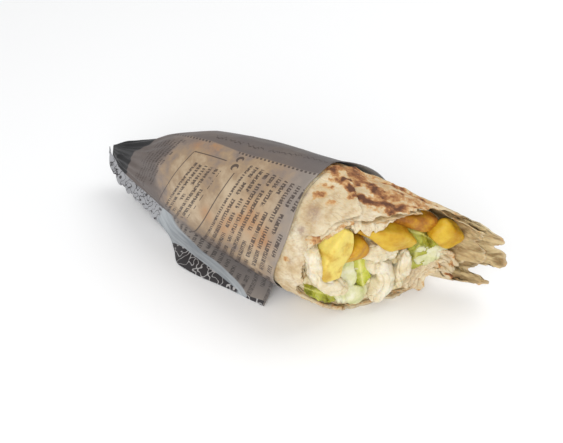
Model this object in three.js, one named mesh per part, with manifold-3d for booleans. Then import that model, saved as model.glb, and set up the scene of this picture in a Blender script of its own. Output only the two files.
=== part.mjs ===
// A gyro wrap: a flatbread rolled round potato, chicken and salad, cut on the slant, in a paper sleeve.
// Millimetres. +X runs along the roll from the closed tail to the cut mouth, +Z is up, and -Y is the side
// that the cut faces. The origin is on the flat underside, about midway along the roll.
import * as THREE from "three";
import { mergeVertices } from "three/addons/utils/BufferGeometryUtils.js";
import Module from "manifold-3d";

const wasm = await Module();
wasm.setup();

// ---------------------------------------------------------------- driving dimensions

// The roll's outside, by station along X: half its width, its middle's Y, its top and its underside.
const HALF_WIDTH = [
  [-122, 1.8], [-115, 5.2], [-105, 9.5], [-92, 14.5], [-77, 19], [-55, 25], [-30, 29.5], [0, 34.2],
  [25, 36], [60, 36.5], [125, 35],
];
const SIDEWAYS = [[-122, 14.5], [-100, 12.5], [-77, 10], [-55, 8], [-30, 5.6], [0, 2], [25, 0], [125, 0]];
const TOP = [
  [-122, 30], [-115, 33.5], [-105, 38], [-92, 44.5], [-77, 54], [-55, 64], [-30, 69.5], [0, 73], [25, 72.2],
  [45, 67.5], [70, 61.5], [90, 57], [125, 48],
];
const UNDERSIDE = [
  [-122, 18.5], [-115, 15.5], [-105, 13], [-92, 9.5], [-77, 5.5], [-55, 1], [-35, -1.2], [75, -1.2],
  [125, 4],
];
const LEAN = [[25, 0], [70, 5], [125, 5]]; // the flattened mouth rises towards the back by this much
const SQUARENESS = [[-121, 2], [25, 2], [60, 2.15], [125, 2.2]]; // 2 is an ellipse, more is boxier

const GAP = 0.35; // air between neighbours
const PAPER_WALL = 0.7;
const TAIL_X = -122; // the sleeve's closed tip
const SLEEVE_FRONT_X = 20; // where the paper ends on the side of the cut and on top
const SLEEVE_BACK_REACH = 25; // how much further it reaches behind
const SLEEVE_SHOULDER = 8; // and how much further again where that begins, over the top
const SLEEVE_FRONT_RECESS = 5.6; // how far it stops short of that low in front
const SLEEVE_FLARE = 3.4; // how far its mouth stands off the bread behind
const AROUND = 44; // facets round the sleeve

// The loose edge of the sleeve's sheet, from its root low on the roll out to where it lies on the table.
const FLAP_TAIL_X = -122;
const FLAP_FRONT_X = 8;
const FLAP_ROOT_ANGLE = [[-122, 340], [-118, 322], [-112, 314], [-95, 313], [-73, 312], [-40, 312], [8, 317]];
const FLAP_OUT_X = [
  [-122, -125.6], [-118, -124], [-113, -118], [-108, -113.3], [-102, -106.8], [-95, -98.8], [-86, -88.8],
  [-78, -81], [-66, -68.5], [8, 7.5],
];
const FLAP_OUT_Y = [
  [-122, 14], [-118, 11], [-113, 7], [-108, 4], [-102, 2], [-95, -0.4], [-86, -2], [-78, -5], [-66, -10.5],
  [-57, -19], [-48, -28.5], [-12, -31.5], [8, -33.3],
];
const FLAP_OUT_Z = [
  [-122, 26], [-118, 18], [-113, 15], [-108, 12], [-102, 10], [-95, 8], [-86, 5], [-78, 3], [-66, 0.8],
  [-60, 0.45], [8, 0.45],
];

const BREAD_WALL = 2.7;
const BREAD_AROUND = 76; // facets round the bread
const CUT_X = 60.6; // the slanted cut crosses the middle of the roll here
const CUT_SLOPE = 0.85; // and runs this far along X for each millimetre of Y
const FOLD_LIFT = 6; // how far the far wall's low edge stands off the table at its highest

// How far the torn bread reaches past the cut, by the angle round the roll: three tongues behind.
const TORN_REACH = [
  [60, 0], [80, 2.5], [110, 1], [136, 0], [143, 24], [152, 23], [167, 19], [171, 17], [177, 24], [193, 23],
  [197, 14], [203, 11], [208, 9], [214, 22], [219, 19], [224, 8], [229, -3], [240, -3], [252, -2.5],
  [268, -1.5], [290, -0.5], [318, 0], [335, -8], [352, 0],
];

// The filling's larger pieces, in the plane of the cut. at is across, up and out of the cut; size is the
// length, width and depth; turn is the slope of the length in degrees, and arc how far it curls. A high blunt
// fills out the ends, and a low square the corners of the section. roll turns the section about the length,
// and widths says how wide the piece is along it, from -1 to 1.
const POTATO = [
  {
    at: [-29.8, 46, 1], size: [31, 14.6, 11], turn: 70, arc: -40, blunt: 7, square: 0.36, roll: 10,
    widths: [[-1, 0.95], [-0.3, 0.95], [0.3, 1.05], [0.7, 0.85], [1, 0.5]],
  },
  {
    at: [-18.8, 43, -1.6], size: [17, 10.5, 12], turn: 30, blunt: 4, square: 0.45, roll: 14,
    widths: [[-1, 0.5], [0, 1], [1, 0.95]],
  },
  {
    at: [1, 47.2, -1], size: [38, 14.3, 12], turn: -29, arc: -20, blunt: 5, square: 0.4, roll: 14,
    widths: [[-1, 0.15], [-0.5, 0.5], [0, 0.98], [0.25, 1], [0.7, 0.64], [1, 0.42]],
  },
  {
    at: [16.8, 50.8, -4], size: [28, 9.5, 11], turn: -26, blunt: 3.6, square: 0.6, roll: 10,
    widths: [[-1, 0.8], [0, 1], [1, 0.95]],
  },
  {
    at: [34, 39.2, 1], size: [20, 14, 9.5], turn: -46, blunt: 3.4, square: 0.55, roll: 8,
    widths: [[-1, 1], [0, 1], [1, 0.9]],
  },
];
const CHICKEN = [
  {
    at: [-36.6, 33.4, 0.5], size: [40, 10.5, 12], turn: -61, arc: 74, blunt: 4, square: 0.8,
    widths: [[-1, 0.8], [0, 1], [1, 0.95]],
  },
  {
    at: [0.5, 20.3, 0], size: [34, 11.5, 12], turn: -84, arc: -155, blunt: 4.5, square: 0.8,
    widths: [[-1, 0.8], [0, 0.95], [0.6, 1], [1, 0.8]],
  },
  {
    at: [-2.8, 36.6, -1.6], size: [21, 11, 10], turn: -20, blunt: 5, square: 0.7,
    widths: [[-1, 0.8], [0, 1], [1, 0.75]],
  },
  {
    at: [9.8, 20.8, -0.5], size: [27, 7.5, 11], turn: 84, arc: -18, blunt: 2.4, square: 0.7,
    widths: [[-1, 0.6], [0, 1], [1, 1.1]],
  },
];
const LETTUCE = [
  { at: [20.5, 41, -2], size: [29, 11], turn: -36, roll: 44, ruffle: 1.1 },
  { at: [18.6, 27, -1.5], size: [18, 11], turn: 76, roll: 15, ruffle: 0.9 },
  { at: [-12.6, 27, -1.6], size: [25, 9], turn: 100, roll: 12, ruffle: 1 },
  { at: [-35, 18.8, -1], size: [23, 7.5], turn: -36, roll: 36, ruffle: 0.8 },
];
const CABBAGE = [
  {
    at: [-21.4, 28, -1], size: [19, 10, 4], turn: 97, blunt: 7, square: 0.4,
    widths: [[-1, 1], [1, 0.8]],
  },
  {
    at: [-18.5, 12.8, -0.5], size: [19, 12, 4.5], turn: -24, blunt: 4, square: 0.6,
    widths: [[-1, 0.8], [1, 1]],
  },
  {
    at: [28, 24.5, -2], size: [22, 14, 4.5], turn: -22, blunt: 2.6, square: 0.6,
    widths: [[-1, 1], [1, 1]],
  },
];
const LEAF_THICKNESS = 0.9;
const CORE_RECESS = 7; // how far the chopped middle of the filling lies behind the cut

// ---------------------------------------------------------------- small mathematics

const rad = THREE.MathUtils.degToRad;
const mix = THREE.MathUtils.lerp;
const smooth = THREE.MathUtils.smoothstep;
const steps = (n) => Array.from({ length: n }, (_, i) => i);
const angles = (count) => steps(count).map((j) => (2 * Math.PI * j) / count);
const signedPower = (v, e) => Math.sign(v) * Math.abs(v) ** e;

// A smooth hump round an angle, both given in degrees, for an angle round the roll in radians.
function hump(angle, centre, width) {
  const away = THREE.MathUtils.euclideanModulo(THREE.MathUtils.radToDeg(angle) - centre + 180, 360) - 180;
  return Math.exp(-((away / width) ** 2));
}

// A smooth value through [place, value] pairs, held level past the ends.
function through(pairs, place) {
  const last = pairs.length - 1;
  if (place <= pairs[0][0]) return pairs[0][1];
  if (place >= pairs[last][0]) return pairs[last][1];
  const i = pairs.findIndex((p) => p[0] > place) - 1;
  const slope = (k) => {
    const a = pairs[Math.max(k - 1, 0)];
    const b = pairs[Math.min(k + 1, last)];
    return (b[1] - a[1]) / (b[0] - a[0]);
  };
  const [x0, v0] = pairs[i];
  const [x1, v1] = pairs[i + 1];
  const run = x1 - x0;
  const t = (place - x0) / run;
  const t2 = t * t;
  const t3 = t2 * t;
  return (
    (2 * t3 - 3 * t2 + 1) * v0 +
    (t3 - 2 * t2 + t) * run * slope(i) +
    (3 * t2 - 2 * t3) * v1 +
    (t3 - t2) * run * slope(i + 1)
  );
}

// ---------------------------------------------------------------- solids

// The closed mesh as a manifold solid, turned right side out.
function solid(position, index) {
  const geometry = new THREE.BufferGeometry();
  geometry.setAttribute("position", new THREE.Float32BufferAttribute(position, 3));
  geometry.setIndex(index);
  const merged = mergeVertices(geometry, 1e-4);
  const vertProperties = new Float32Array(merged.attributes.position.array);
  const triVerts = new Uint32Array(merged.index.array);
  const made = new wasm.Manifold(new wasm.Mesh({ numProp: 3, vertProperties, triVerts }));
  if (made.volume() > 0) return made;
  for (let i = 0; i < triVerts.length; i += 3) {
    [triVerts[i], triVerts[i + 1]] = [triVerts[i + 1], triVerts[i]];
  }
  return new wasm.Manifold(new wasm.Mesh({ numProp: 3, vertProperties, triVerts }));
}

// A closed surface through equal rings, whose first and last rings are drawn together at their middles.
function loft(rings) {
  const around = rings[0].length;
  const position = rings.flat().flatMap((p) => [p.x, p.y, p.z]);
  const index = [];
  for (let i = 0; i + 1 < rings.length; i++) {
    for (let j = 0; j < around; j++) {
      const [a, b] = [i * around + j, i * around + ((j + 1) % around)];
      index.push(a, b, b + around, a, b + around, a + around);
    }
  }
  for (const [ring, start] of [[rings[0], 0], [rings.at(-1), (rings.length - 1) * around]]) {
    const middle = ring.reduce((sum, p) => sum.add(p), new THREE.Vector3()).divideScalar(around);
    const pole = position.length / 3;
    position.push(middle.x, middle.y, middle.z);
    for (let j = 0; j < around; j++) {
      const [a, b] = [start + j, start + ((j + 1) % around)];
      index.push(pole, start ? a : b, start ? b : a);
    }
  }
  return solid(position, index);
}

// A thin closed sheet on a grid of points, with both faces split alike and its thickness laid half each way.
function sheet(grid, thickness) {
  const [rows, columns] = [grid.length, grid[0].length];
  const at = (i, j) => grid[THREE.MathUtils.clamp(i, 0, rows - 1)][THREE.MathUtils.clamp(j, 0, columns - 1)];
  const position = [];
  for (const side of [0.5, -0.5]) {
    for (let i = 0; i < rows; i++) {
      for (let j = 0; j < columns; j++) {
        const along = at(i + 1, j).clone().sub(at(i - 1, j));
        const across = at(i, j + 1).clone().sub(at(i, j - 1));
        const normal = along.cross(across).normalize();
        const p = at(i, j).clone().addScaledVector(normal, side * thickness);
        position.push(p.x, p.y, p.z);
      }
    }
  }
  const index = [];
  const under = rows * columns;
  const quad = (a, b, c, d) => index.push(a, b, c, a, c, d);
  for (let i = 0; i + 1 < rows; i++) {
    for (let j = 0; j + 1 < columns; j++) {
      const a = i * columns + j;
      const [b, c, d] = [a + columns, a + columns + 1, a + 1];
      index.push(a, b, c, a, c, d);
      index.push(under + a, under + c, under + b, under + a, under + d, under + c);
    }
  }
  for (let i = 0; i + 1 < rows; i++) {
    const [a, b] = [i * columns, (i + 1) * columns];
    quad(a, under + a, under + b, b);
    const [c, d] = [a + columns - 1, b + columns - 1];
    quad(c, d, under + d, under + c);
  }
  for (let j = 0; j + 1 < columns; j++) {
    quad(j, j + 1, under + j + 1, under + j);
    const a = (rows - 1) * columns + j;
    quad(a, under + a, under + a + 1, a + 1);
  }
  return solid(position, index);
}

const largest = (made) => made.decompose().reduce((a, b) => (a.volume() > b.volume() ? a : b));

function geometryOf(made) {
  const { numProp, vertProperties, triVerts } = made.getMesh();
  const position = new Float32Array((vertProperties.length / numProp) * 3);
  for (let i = 0; i < position.length / 3; i++) {
    position.set(vertProperties.subarray(i * numProp, i * numProp + 3), i * 3);
  }
  const geometry = new THREE.BufferGeometry();
  geometry.setAttribute("position", new THREE.BufferAttribute(position, 3));
  geometry.setIndex(new THREE.BufferAttribute(new Uint32Array(triVerts), 1));
  geometry.computeVertexNormals();
  return geometry;
}

// ---------------------------------------------------------------- the roll's form

// A point of the roll at station x. The angle starts on the side of the cut and rises over the top, and grow
// moves the surface out. The underside is pressed flat at the height called floor.
function rollPoint(x, angle, grow, floor = -grow) {
  const top = through(TOP, x) + grow;
  const underside = through(UNDERSIDE, x) - grow;
  const half = Math.max(through(HALF_WIDTH, x) + grow, 0.2);
  const power = 2 / through(SQUARENESS, x);
  const across = -signedPower(Math.cos(angle), power);
  const up = signedPower(Math.sin(angle), power);
  const rise = Math.max((top - underside) / 2, 0.2);
  const lean = through(LEAN, x) * across * Math.max(up, 0);
  const z = (top + underside) / 2 + rise * up + lean;
  return new THREE.Vector3(x, through(SIDEWAYS, x) + half * across, Math.max(z, floor));
}

const cutX = (y) => CUT_X + CUT_SLOPE * y;

// ---------------------------------------------------------------- paper sleeve

// How far the sleeve reaches along X at an angle round the roll: furthest behind, and least low in front.
function sleeveEdge(angle) {
  const behind = SLEEVE_BACK_REACH * hump(angle, 189, 49) + SLEEVE_SHOULDER * hump(angle, 150, 22);
  const reach = behind - SLEEVE_FRONT_RECESS * hump(angle, 338, 38) + 3 * hump(angle, 92, 20);
  return SLEEVE_FRONT_X + reach + 1.2 * Math.sin(3 * angle);
}

// Gathered folds that deepen towards the tail, and the flare of the mouth.
function sleeveRelief(x, angle) {
  const depth = through([[-122, 0], [-114, 0.6], [-95, 0.8], [-70, 0.3], [-50, 0]], x);
  return depth * Math.sin(7 * angle + 0.05 * x) + SLEEVE_FLARE * hump(angle, 140, 42) * smooth(x, 4, 42);
}

// Rings of the tube at the given stations, and on from the last one to its edge, moved out by a margin.
function sleeveRings(stations, grow) {
  const ring = (x, share) =>
    angles(AROUND).map((a) => {
      const reach = mix(x, sleeveEdge(a), share);
      return rollPoint(reach, a, grow + sleeveRelief(reach, a), -grow);
    });
  return [...stations.map((x) => ring(x, 0)), ...[0.5, 1].map((share) => ring(stations.at(-1), share))];
}

const SLEEVE_OUTER = [TAIL_X, -118.5, -116, -112, -107, -101, -94, -86, -76, -64, -50, -34, -17, 0, 12];
const SLEEVE_INNER = [-113, -110, -106, -100, -92, -80, -66, -50, -34, -17, 0, 12];

const sleeveTube = () =>
  loft([...sleeveRings(SLEEVE_OUTER, 0), ...sleeveRings(SLEEVE_INNER, -PAPER_WALL).reverse()]);

// The sheet's loose edge: each row runs from the tube's wall down and out to the table. It is cut clear of the
// tube by a gap, so that the two are simple solids with open space between them and the table.
function sleeveFlap() {
  const rows = 18;
  const columns = [0, 0.34, 0.67, 1];
  const grid = steps(rows).map((i) => {
    const x = mix(FLAP_TAIL_X, FLAP_FRONT_X, i / (rows - 1));
    const angle = rad(through(FLAP_ROOT_ANGLE, x));
    const root = rollPoint(x, angle, sleeveRelief(x, angle), 0);
    const inWall = rollPoint(x, angle, sleeveRelief(x, angle) - PAPER_WALL / 2, PAPER_WALL / 2);
    const end = new THREE.Vector3(through(FLAP_OUT_X, x), through(FLAP_OUT_Y, x), through(FLAP_OUT_Z, x));
    const crumple = 1.3 * (1 - smooth(x, -100, -78));
    return [inWall, ...columns.slice(1).map((share) => {
      const p = root.clone().lerp(end, share);
      p.z -= 0.9 * Math.sin(Math.PI * share) * smooth(x, -80, -60);
      p.z += crumple * Math.sin(1.9 * i + 2.4 * share) * share;
      p.z = Math.max(p.z, PAPER_WALL / 2 + 0.05);
      return p;
    })];
  });
  return largest(sheet(grid, PAPER_WALL).subtract(loft(sleeveRings(SLEEVE_OUTER, GAP))));
}

// ---------------------------------------------------------------- bread

const SKIN = -(PAPER_WALL + GAP); // the bread's outside, in from the roll's

// Past the sleeve the bread sinks to the table, which in the sleeve it can't reach.
const breadFloor = (x) => mix(PAPER_WALL + GAP, 0, smooth(x, 24, 44));

// Behind this station the bread is drawn in a little, clear of the sleeve's gathers.
const drawnIn = (x) => (x < -60 ? 1.6 : 0);

// The torn edge: the slanted cut, its tongues and a ragged line.
function breadEdge(angle) {
  let x = 0;
  for (let round = 0; round < 6; round++) x = cutX(rollPoint(x, angle, SKIN).y);
  const ragged = 0.9 * Math.sin(9 * angle + 1) + 0.7 * Math.sin(17 * angle) + 0.5 * Math.sin(29 * angle + 2);
  const degrees = THREE.MathUtils.radToDeg(angle);
  return x + ragged + through(TORN_REACH, degrees);
}

// The edge of the layer inside it, which hangs out under the top and folds out low behind.
function innerEdge(angle) {
  const uneven = 1.2 * Math.sin(7 * angle) + 0.9 * Math.sin(15 * angle + 2);
  return breadEdge(angle) - 1.2 + uneven + 2.5 * hump(angle, 78, 16) - 9 * hump(angle, 180, 38);
}

// The wall: one layer low down, two over the top, and a crumpled fold low behind the mouth.
function breadWall(x, angle) {
  const over = 2.6 * hump(angle, 80, 62) * smooth(x, 10, 45);
  const beside = 1.6 * hump(angle, 5, 30) * smooth(x, 0, 30);
  const waves = 1 + 0.16 * Math.sin(14 * angle) + 0.1 * Math.sin(0.5 * x);
  const fold = 8.5 * hump(angle, 229, 21) * smooth(x, 48, 80) * waves;
  return BREAD_WALL + over + beside + fold;
}

// The outside's relief: a blister beside the mouth, and the arch that draws the fold in.
function breadRelief(x, angle) {
  const blister = 1.7 * hump(angle, 58, 17) * Math.exp(-(((x - 38) / 9) ** 2));
  const arch = 3.5 * hump(angle, 232, 15) * smooth(x, 60, 82);
  return blister - arch;
}

// A point of the bread, outside or inside. The far wall's low edge is raised off the table by a bell along the
// roll and round it.
function breadPoint(x, angle, grow, floor) {
  const point = rollPoint(x, angle, grow, floor);
  point.z += FOLD_LIFT * Math.exp(-(((x - 82) / 3.2) ** 2)) * hump(angle, 228, 9);
  return point;
}

// The rings of the bread's inside, from the tail to the mouth, drawn in by a margin.
function breadInside(margin) {
  const start = 5;
  const ring = (place) =>
    angles(BREAD_AROUND).map((a) => {
      const x = place(a);
      const wall = breadWall(x, a) + margin + drawnIn(x);
      return breadPoint(x, a, SKIN - wall, breadFloor(x) + wall);
    });
  const hidden = [-98 + margin, -92, -80, -55, -25, start].map((x) => ring(() => x));
  const shown = [0.33, 0.66, 1].map((share) => ring((a) => mix(start, innerEdge(a), share)));
  return [...hidden, ...shown];
}

function makeBread() {
  const start = 8;
  const ring = (place, deep = 0) =>
    angles(BREAD_AROUND).map((a) => {
      const x = place(a);
      return breadPoint(x, a, SKIN - drawnIn(x) - deep + breadRelief(x, a), breadFloor(x) + deep);
    });
  const hidden = [-106, -100, -92, -66, -34, -17, 0, start].map((x) => ring(() => x));
  const shown = [0.25, 0.5, 0.75, 1].map((share) => ring((a) => mix(start, breadEdge(a), share)));
  const layer = [breadEdge, innerEdge].map((edge) => ring(edge, BREAD_WALL * 0.55));
  return loft([...hidden, ...shown, ...layer, ...breadInside(0).reverse()]);
}

// ---------------------------------------------------------------- filling

const ACROSS = new THREE.Vector3(CUT_SLOPE, 1, 0).normalize(); // along the cut
const UP = new THREE.Vector3(0, 0, 1);
const OUT = new THREE.Vector3(1, -CUT_SLOPE, 0).normalize(); // out of the cut

const cutPoint = (across, up, out) =>
  new THREE.Vector3(CUT_X, 0, 0).addScaledVector(ACROSS, across).addScaledVector(UP, up).addScaledVector(OUT, out);

// A place and its two directions at t, from -1 to 1, along an arc laid in the plane of the cut.
function alongArc({ at, turn, arc = 0 }, long, t) {
  const curl = rad(arc || 0.01);
  const heading = rad(turn) + (curl * t) / 2;
  const radius = long / curl;
  const s = at[0] + radius * (Math.sin(heading) - Math.sin(rad(turn)));
  const z = at[1] - radius * (Math.cos(heading) - Math.cos(rad(turn)));
  const side = new THREE.Vector3()
    .addScaledVector(ACROSS, -Math.sin(heading))
    .addScaledVector(UP, Math.cos(heading));
  return { centre: cutPoint(s, z, at[2]), side };
}

// A plump piece: rounded rings along its arc, full in the middle and closed at both ends.
function morsel(piece, grow = 0) {
  const [long, wide, deep] = piece.size.map((v) => v + 2 * grow);
  const rings = 9;
  const phase = piece.at[0] + piece.at[1];
  const roll = rad(piece.roll || 0);
  return loft(
    steps(rings).map((i) => {
      const t = -Math.cos((Math.PI * (i + 0.55)) / (rings + 0.1));
      const full = (1 - Math.abs(t) ** piece.blunt) ** (1 / piece.blunt) * through(piece.widths, t);
      const { centre, side } = alongArc(piece, long, t);
      return angles(12).map((a) => {
        const lump = 1 + 0.05 * Math.sin(3 * a + phase + 2 * t) + 0.04 * Math.sin(2 * a - 4 * t + phase);
        const v = (wide / 2) * full * lump * signedPower(Math.cos(a), piece.square);
        const w = (deep / 2) * full * lump * signedPower(Math.sin(a), piece.square);
        return centre
          .clone()
          .addScaledVector(side, v * Math.cos(roll) - w * Math.sin(roll))
          .addScaledVector(OUT, v * Math.sin(roll) + w * Math.cos(roll));
      });
    }),
  );
}

// A leaf: a thin ruffled sheet, rolled about its length from facing out of the cut towards facing up.
function leaf(piece, grow = 0) {
  const [long, wide] = piece.size.map((v) => v + 2 * grow);
  const [rows, columns] = [10, 5];
  const phase = piece.at[0];
  const grid = steps(rows).map((i) => {
    const t = mix(-1, 1, i / (rows - 1));
    const { centre, side } = alongArc(piece, long, t);
    const across = side.clone().multiplyScalar(Math.cos(rad(piece.roll)));
    across.addScaledVector(OUT, -Math.sin(rad(piece.roll)));
    const face = side.clone().multiplyScalar(Math.sin(rad(piece.roll)));
    face.addScaledVector(OUT, Math.cos(rad(piece.roll)));
    const half = (wide / 2) * (1 - 0.55 * t ** 4);
    return steps(columns).map((j) => {
      const v = mix(-1, 1, j / (columns - 1));
      const ruffle = piece.ruffle * (Math.sin(5 * t + phase) * v + 0.7 * Math.cos(7 * t + 2 * v));
      return centre.clone().addScaledVector(across, half * v).addScaledVector(face, ruffle);
    });
  });
  return sheet(grid, LEAF_THICKNESS + 2 * grow);
}

// The room inside the bread, open far past the mouth. It runs from the mouth to the tail, as the inside does
// in the bread, so that both have their facets split along the same diagonals.
function breadRoom() {
  const rings = breadInside(GAP);
  const beyond = rings.at(-1).map((p) => p.clone().setX(p.x + 30));
  return loft([beyond, ...rings.reverse()]);
}

// Everything further back than a plane parallel to the cut.
function behindCut(recess) {
  const size = 400;
  const box = new THREE.BoxGeometry(size, size, size);
  const turn = new THREE.Matrix4().makeBasis(OUT, ACROSS, UP);
  box.applyMatrix4(turn.setPosition(cutPoint(0, 0, -recess - size / 2)));
  return solid(Array.from(box.attributes.position.array), Array.from(box.index.array));
}

// ---------------------------------------------------------------- the whole wrap

const wrap = new THREE.Group();
wrap.name = "gyro_wrap";

function add(name, made, colour, roughness) {
  const material = new THREE.MeshStandardMaterial({ color: colour, roughness, metalness: 0 });
  const mesh = new THREE.Mesh(geometryOf(made), material);
  mesh.name = name;
  wrap.add(mesh);
}

add("paper_sleeve", sleeveTube(), 0xb9ad9f, 0.6);
add("paper_flap", sleeveFlap(), 0xb9ad9f, 0.6);
add("flatbread", makeBread(), 0xd9c08e, 0.8);

// The pieces are laid in from the front: each is cut clear of those already there.
const room = breadRoom();
const laid = [];

function lay(kind, number, shape, pieces, colour, roughness) {
  const piece = pieces[number - 1];
  const made = laid.reduce((rest, other) => rest.subtract(other), shape(piece).intersect(room));
  add(`${kind}_${number}`, largest(made), colour, roughness);
  laid.push(shape(piece, GAP));
}

const potato = (number) => lay("potato", number, morsel, POTATO, 0xd9b13a, 0.45);
const chicken = (number) => lay("chicken", number, morsel, CHICKEN, 0xe9dcc0, 0.55);
const lettuce = (number) => lay("lettuce", number, leaf, LETTUCE, 0xb7c046, 0.45);
const cabbage = (number) => lay("cabbage", number, morsel, CABBAGE, 0xdcdcb4, 0.45);

[1, 3].forEach(potato);
[1, 2].forEach(chicken);
[2, 4, 5].forEach(potato);
[3, 4].forEach(chicken);
[1, 2, 3, 4].forEach(lettuce);
[1, 2, 3].forEach(cabbage);

const core = laid.reduce((rest, other) => rest.subtract(other), room.intersect(behindCut(CORE_RECESS)));
add("filling_core", largest(core).simplify(0.12), 0xc9b98c, 0.7);

export default wrap;
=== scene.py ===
"""A gyro wrap: flatbread rolled round potato, chicken and salad, cut on the slant, in a paper sleeve.

Lengths are millimetres until a mesh is made. +X runs along the roll from the closed tail to the cut mouth,
+Z is up, and -Y is the side that the slanted cut faces. Every surface is a whole grid of points worked out
with numpy from the same named sizes as the solid model. A station is a place along X, and angles go round
the roll from its cut side over its top.
"""

from functools import partial, reduce
from itertools import product, repeat

import bpy
import numpy as np
from mathutils import Matrix


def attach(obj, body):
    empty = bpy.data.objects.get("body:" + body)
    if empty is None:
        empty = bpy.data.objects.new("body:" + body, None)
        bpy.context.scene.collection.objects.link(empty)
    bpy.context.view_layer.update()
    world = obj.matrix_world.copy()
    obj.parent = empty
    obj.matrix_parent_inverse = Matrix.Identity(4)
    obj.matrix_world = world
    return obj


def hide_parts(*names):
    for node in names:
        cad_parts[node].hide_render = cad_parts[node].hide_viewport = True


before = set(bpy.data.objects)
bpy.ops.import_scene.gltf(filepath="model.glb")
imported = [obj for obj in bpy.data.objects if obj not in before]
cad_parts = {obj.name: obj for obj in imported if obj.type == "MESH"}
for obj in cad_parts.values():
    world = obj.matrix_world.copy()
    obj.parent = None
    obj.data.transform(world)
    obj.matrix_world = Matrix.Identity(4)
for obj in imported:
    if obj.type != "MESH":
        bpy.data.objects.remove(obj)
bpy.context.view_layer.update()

MM = 0.001  # metres in a millimetre

# ---------------------------------------------------------------- the roll's sizes, as in the solid model

# Each table gives values by station, and TORN_REACH gives them by angle in degrees.
TAIL_X = -122.0
HALF_WIDTH = [
    (TAIL_X, 1.8), (-115, 5.2), (-105, 9.5), (-92, 14.5), (-77, 19), (-55, 25), (-30, 29.5), (0, 34.2),
    (25, 36), (60, 36.5), (125, 35),
]
SIDEWAYS = [(TAIL_X, 14.5), (-100, 12.5), (-77, 10), (-55, 8), (-30, 5.6), (0, 2), (25, 0), (125, 0)]
TOP = [
    (TAIL_X, 30), (-115, 33.5), (-105, 38), (-92, 44.5), (-77, 54), (-55, 64), (-30, 69.5), (0, 73),
    (25, 72.2), (45, 67.5), (70, 61.5), (90, 57), (125, 48),
]
UNDERSIDE = [
    (TAIL_X, 18.5), (-115, 15.5), (-105, 13), (-92, 9.5), (-77, 5.5), (-55, 1), (-35, -1.2), (75, -1.2),
    (125, 4),
]
LEAN = [(25, 0), (70, 5), (125, 5)]  # how much the top rises to the far side, and falls to the cut side
SQUARENESS = [(-121, 2), (25, 2), (60, 2.15), (125, 2.2)]  # the section's power: 2 is an ellipse

SKIN = -1.05  # the bread's outside, in from the sleeve's
CUT_X = 60.6  # the station where the cut crosses Y = 0
CUT_SLOPE = 0.85  # how far that moves along X for each millimetre of Y
# How far the torn edge reaches past the cut: the lips in front, and three tongues behind.
TORN_REACH = [
    (60, 0), (80, 2.5), (110, 1), (136, 0), (143, 24), (152, 23), (167, 19), (171, 17), (177, 24),
    (193, 23), (197, 14), (203, 11), (208, 9), (214, 22), (219, 19), (224, 8), (229, -3), (240, -3),
    (252, -2.5), (268, -1.5), (290, -0.5), (318, 0), (335, -8), (352, 0),
]

# ---------------------------------------------------------------- small mathematics


def smooth(value, low, high):
    """0 below low, 1 above high, and three times the square less twice the cube of the share between."""
    t = np.clip((np.asarray(value, float) - low) / (high - low), 0, 1)
    return t * t * (3 - 2 * t)


def bell(value, middle, width):
    """e to the minus square of the distance from the middle over the width."""
    return np.exp(-(((value - middle) / width) ** 2))


def degrees_from(angle, turn):
    """The way round from a turn in degrees to an angle in radians, in degrees from -180 to 180."""
    return (np.degrees(angle) - turn + 180) % 360 - 180


def hump(angle, turn, width):
    """A bell round a turn, whose width is in degrees too."""
    return bell(degrees_from(angle, turn), 0, width)


def round_from(angle, turn, radius):
    """The distance round a roll of this radius from a turn in degrees to an angle."""
    return np.radians(degrees_from(angle, turn)) * radius


def around(columns, start=0.0):
    """A row of equally spaced angles, once round from the start."""
    return np.linspace(0, 2 * np.pi, columns, endpoint=False)[None, :] + start


def signed_power(value, power):
    """The power of a number's size, with the number's own sign."""
    return np.sign(value) * np.abs(value) ** power


def through(pairs, place):
    """A smooth curve through (place, value) pairs: cubics whose slope at a pair is that between the pairs
    on either side of it, held level past the ends."""
    at, value = np.array(pairs, float).T
    last = len(at) - 1
    before = np.maximum(np.arange(last + 1) - 1, 0)
    after = np.minimum(np.arange(last + 1) + 1, last)
    slope = (value[after] - value[before]) / (at[after] - at[before])
    held = np.clip(place, at[0], at[-1])
    i = np.clip(np.searchsorted(at, held, side="right") - 1, 0, last - 1)
    run = at[i + 1] - at[i]
    t = (held - at[i]) / run
    t2 = t * t
    t3 = t2 * t
    start = (2 * t3 - 3 * t2 + 1) * value[i] + (t3 - 2 * t2 + t) * run * slope[i]
    return start + (3 * t2 - 2 * t3) * value[i + 1] + (t3 - t2) * run * slope[i + 1]


MIXERS = np.array([374761393, 668265263, 1442695041, 974634777])  # large odd numbers


def cell_number(cell, seed):
    """A number from -1 to 1 for each whole-number cell: its coordinates and the seed times the mixers,
    added up, with the high bits of the sum mixed into its low ones."""
    total = (cell * MIXERS[:3]).sum(axis=-1) + seed * MIXERS[3]
    total = (total ^ (total >> 13)) * 1274126177
    return ((total ^ (total >> 16)) & 0xFFFF) / 32767.5 - 1


def noise(points, size, seed):
    """Value noise: random numbers at the corners of cubes of this size, blended smoothly between."""
    place = np.asarray(points, float) / size
    cell = np.floor(place).astype(np.int64)
    share = place - cell
    share = share * share * (3 - 2 * share)
    total = np.zeros(place.shape[:-1])
    for corner in product((0, 1), repeat=3):
        near = np.where(np.array(corner) == 1, share, 1 - share).prod(axis=-1)
        total += near * cell_number(cell + np.array(corner), seed)
    return total


def rough(points, size, seed):
    """Noise, with noise of half its size and height and of a quarter of them added."""
    return sum(noise(points, size / 2**k, seed + k) / 2**k for k in range(3))


def creased(points, size, seed):
    """Sharp ridges where noise crosses 0: one less the square root of its size."""
    return 1 - np.sqrt(np.abs(noise(points, size, seed)))


def unit(vectors):
    """The vectors over their lengths."""
    return vectors / np.maximum(np.linalg.norm(vectors, axis=-1, keepdims=True), 1e-9)


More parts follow.
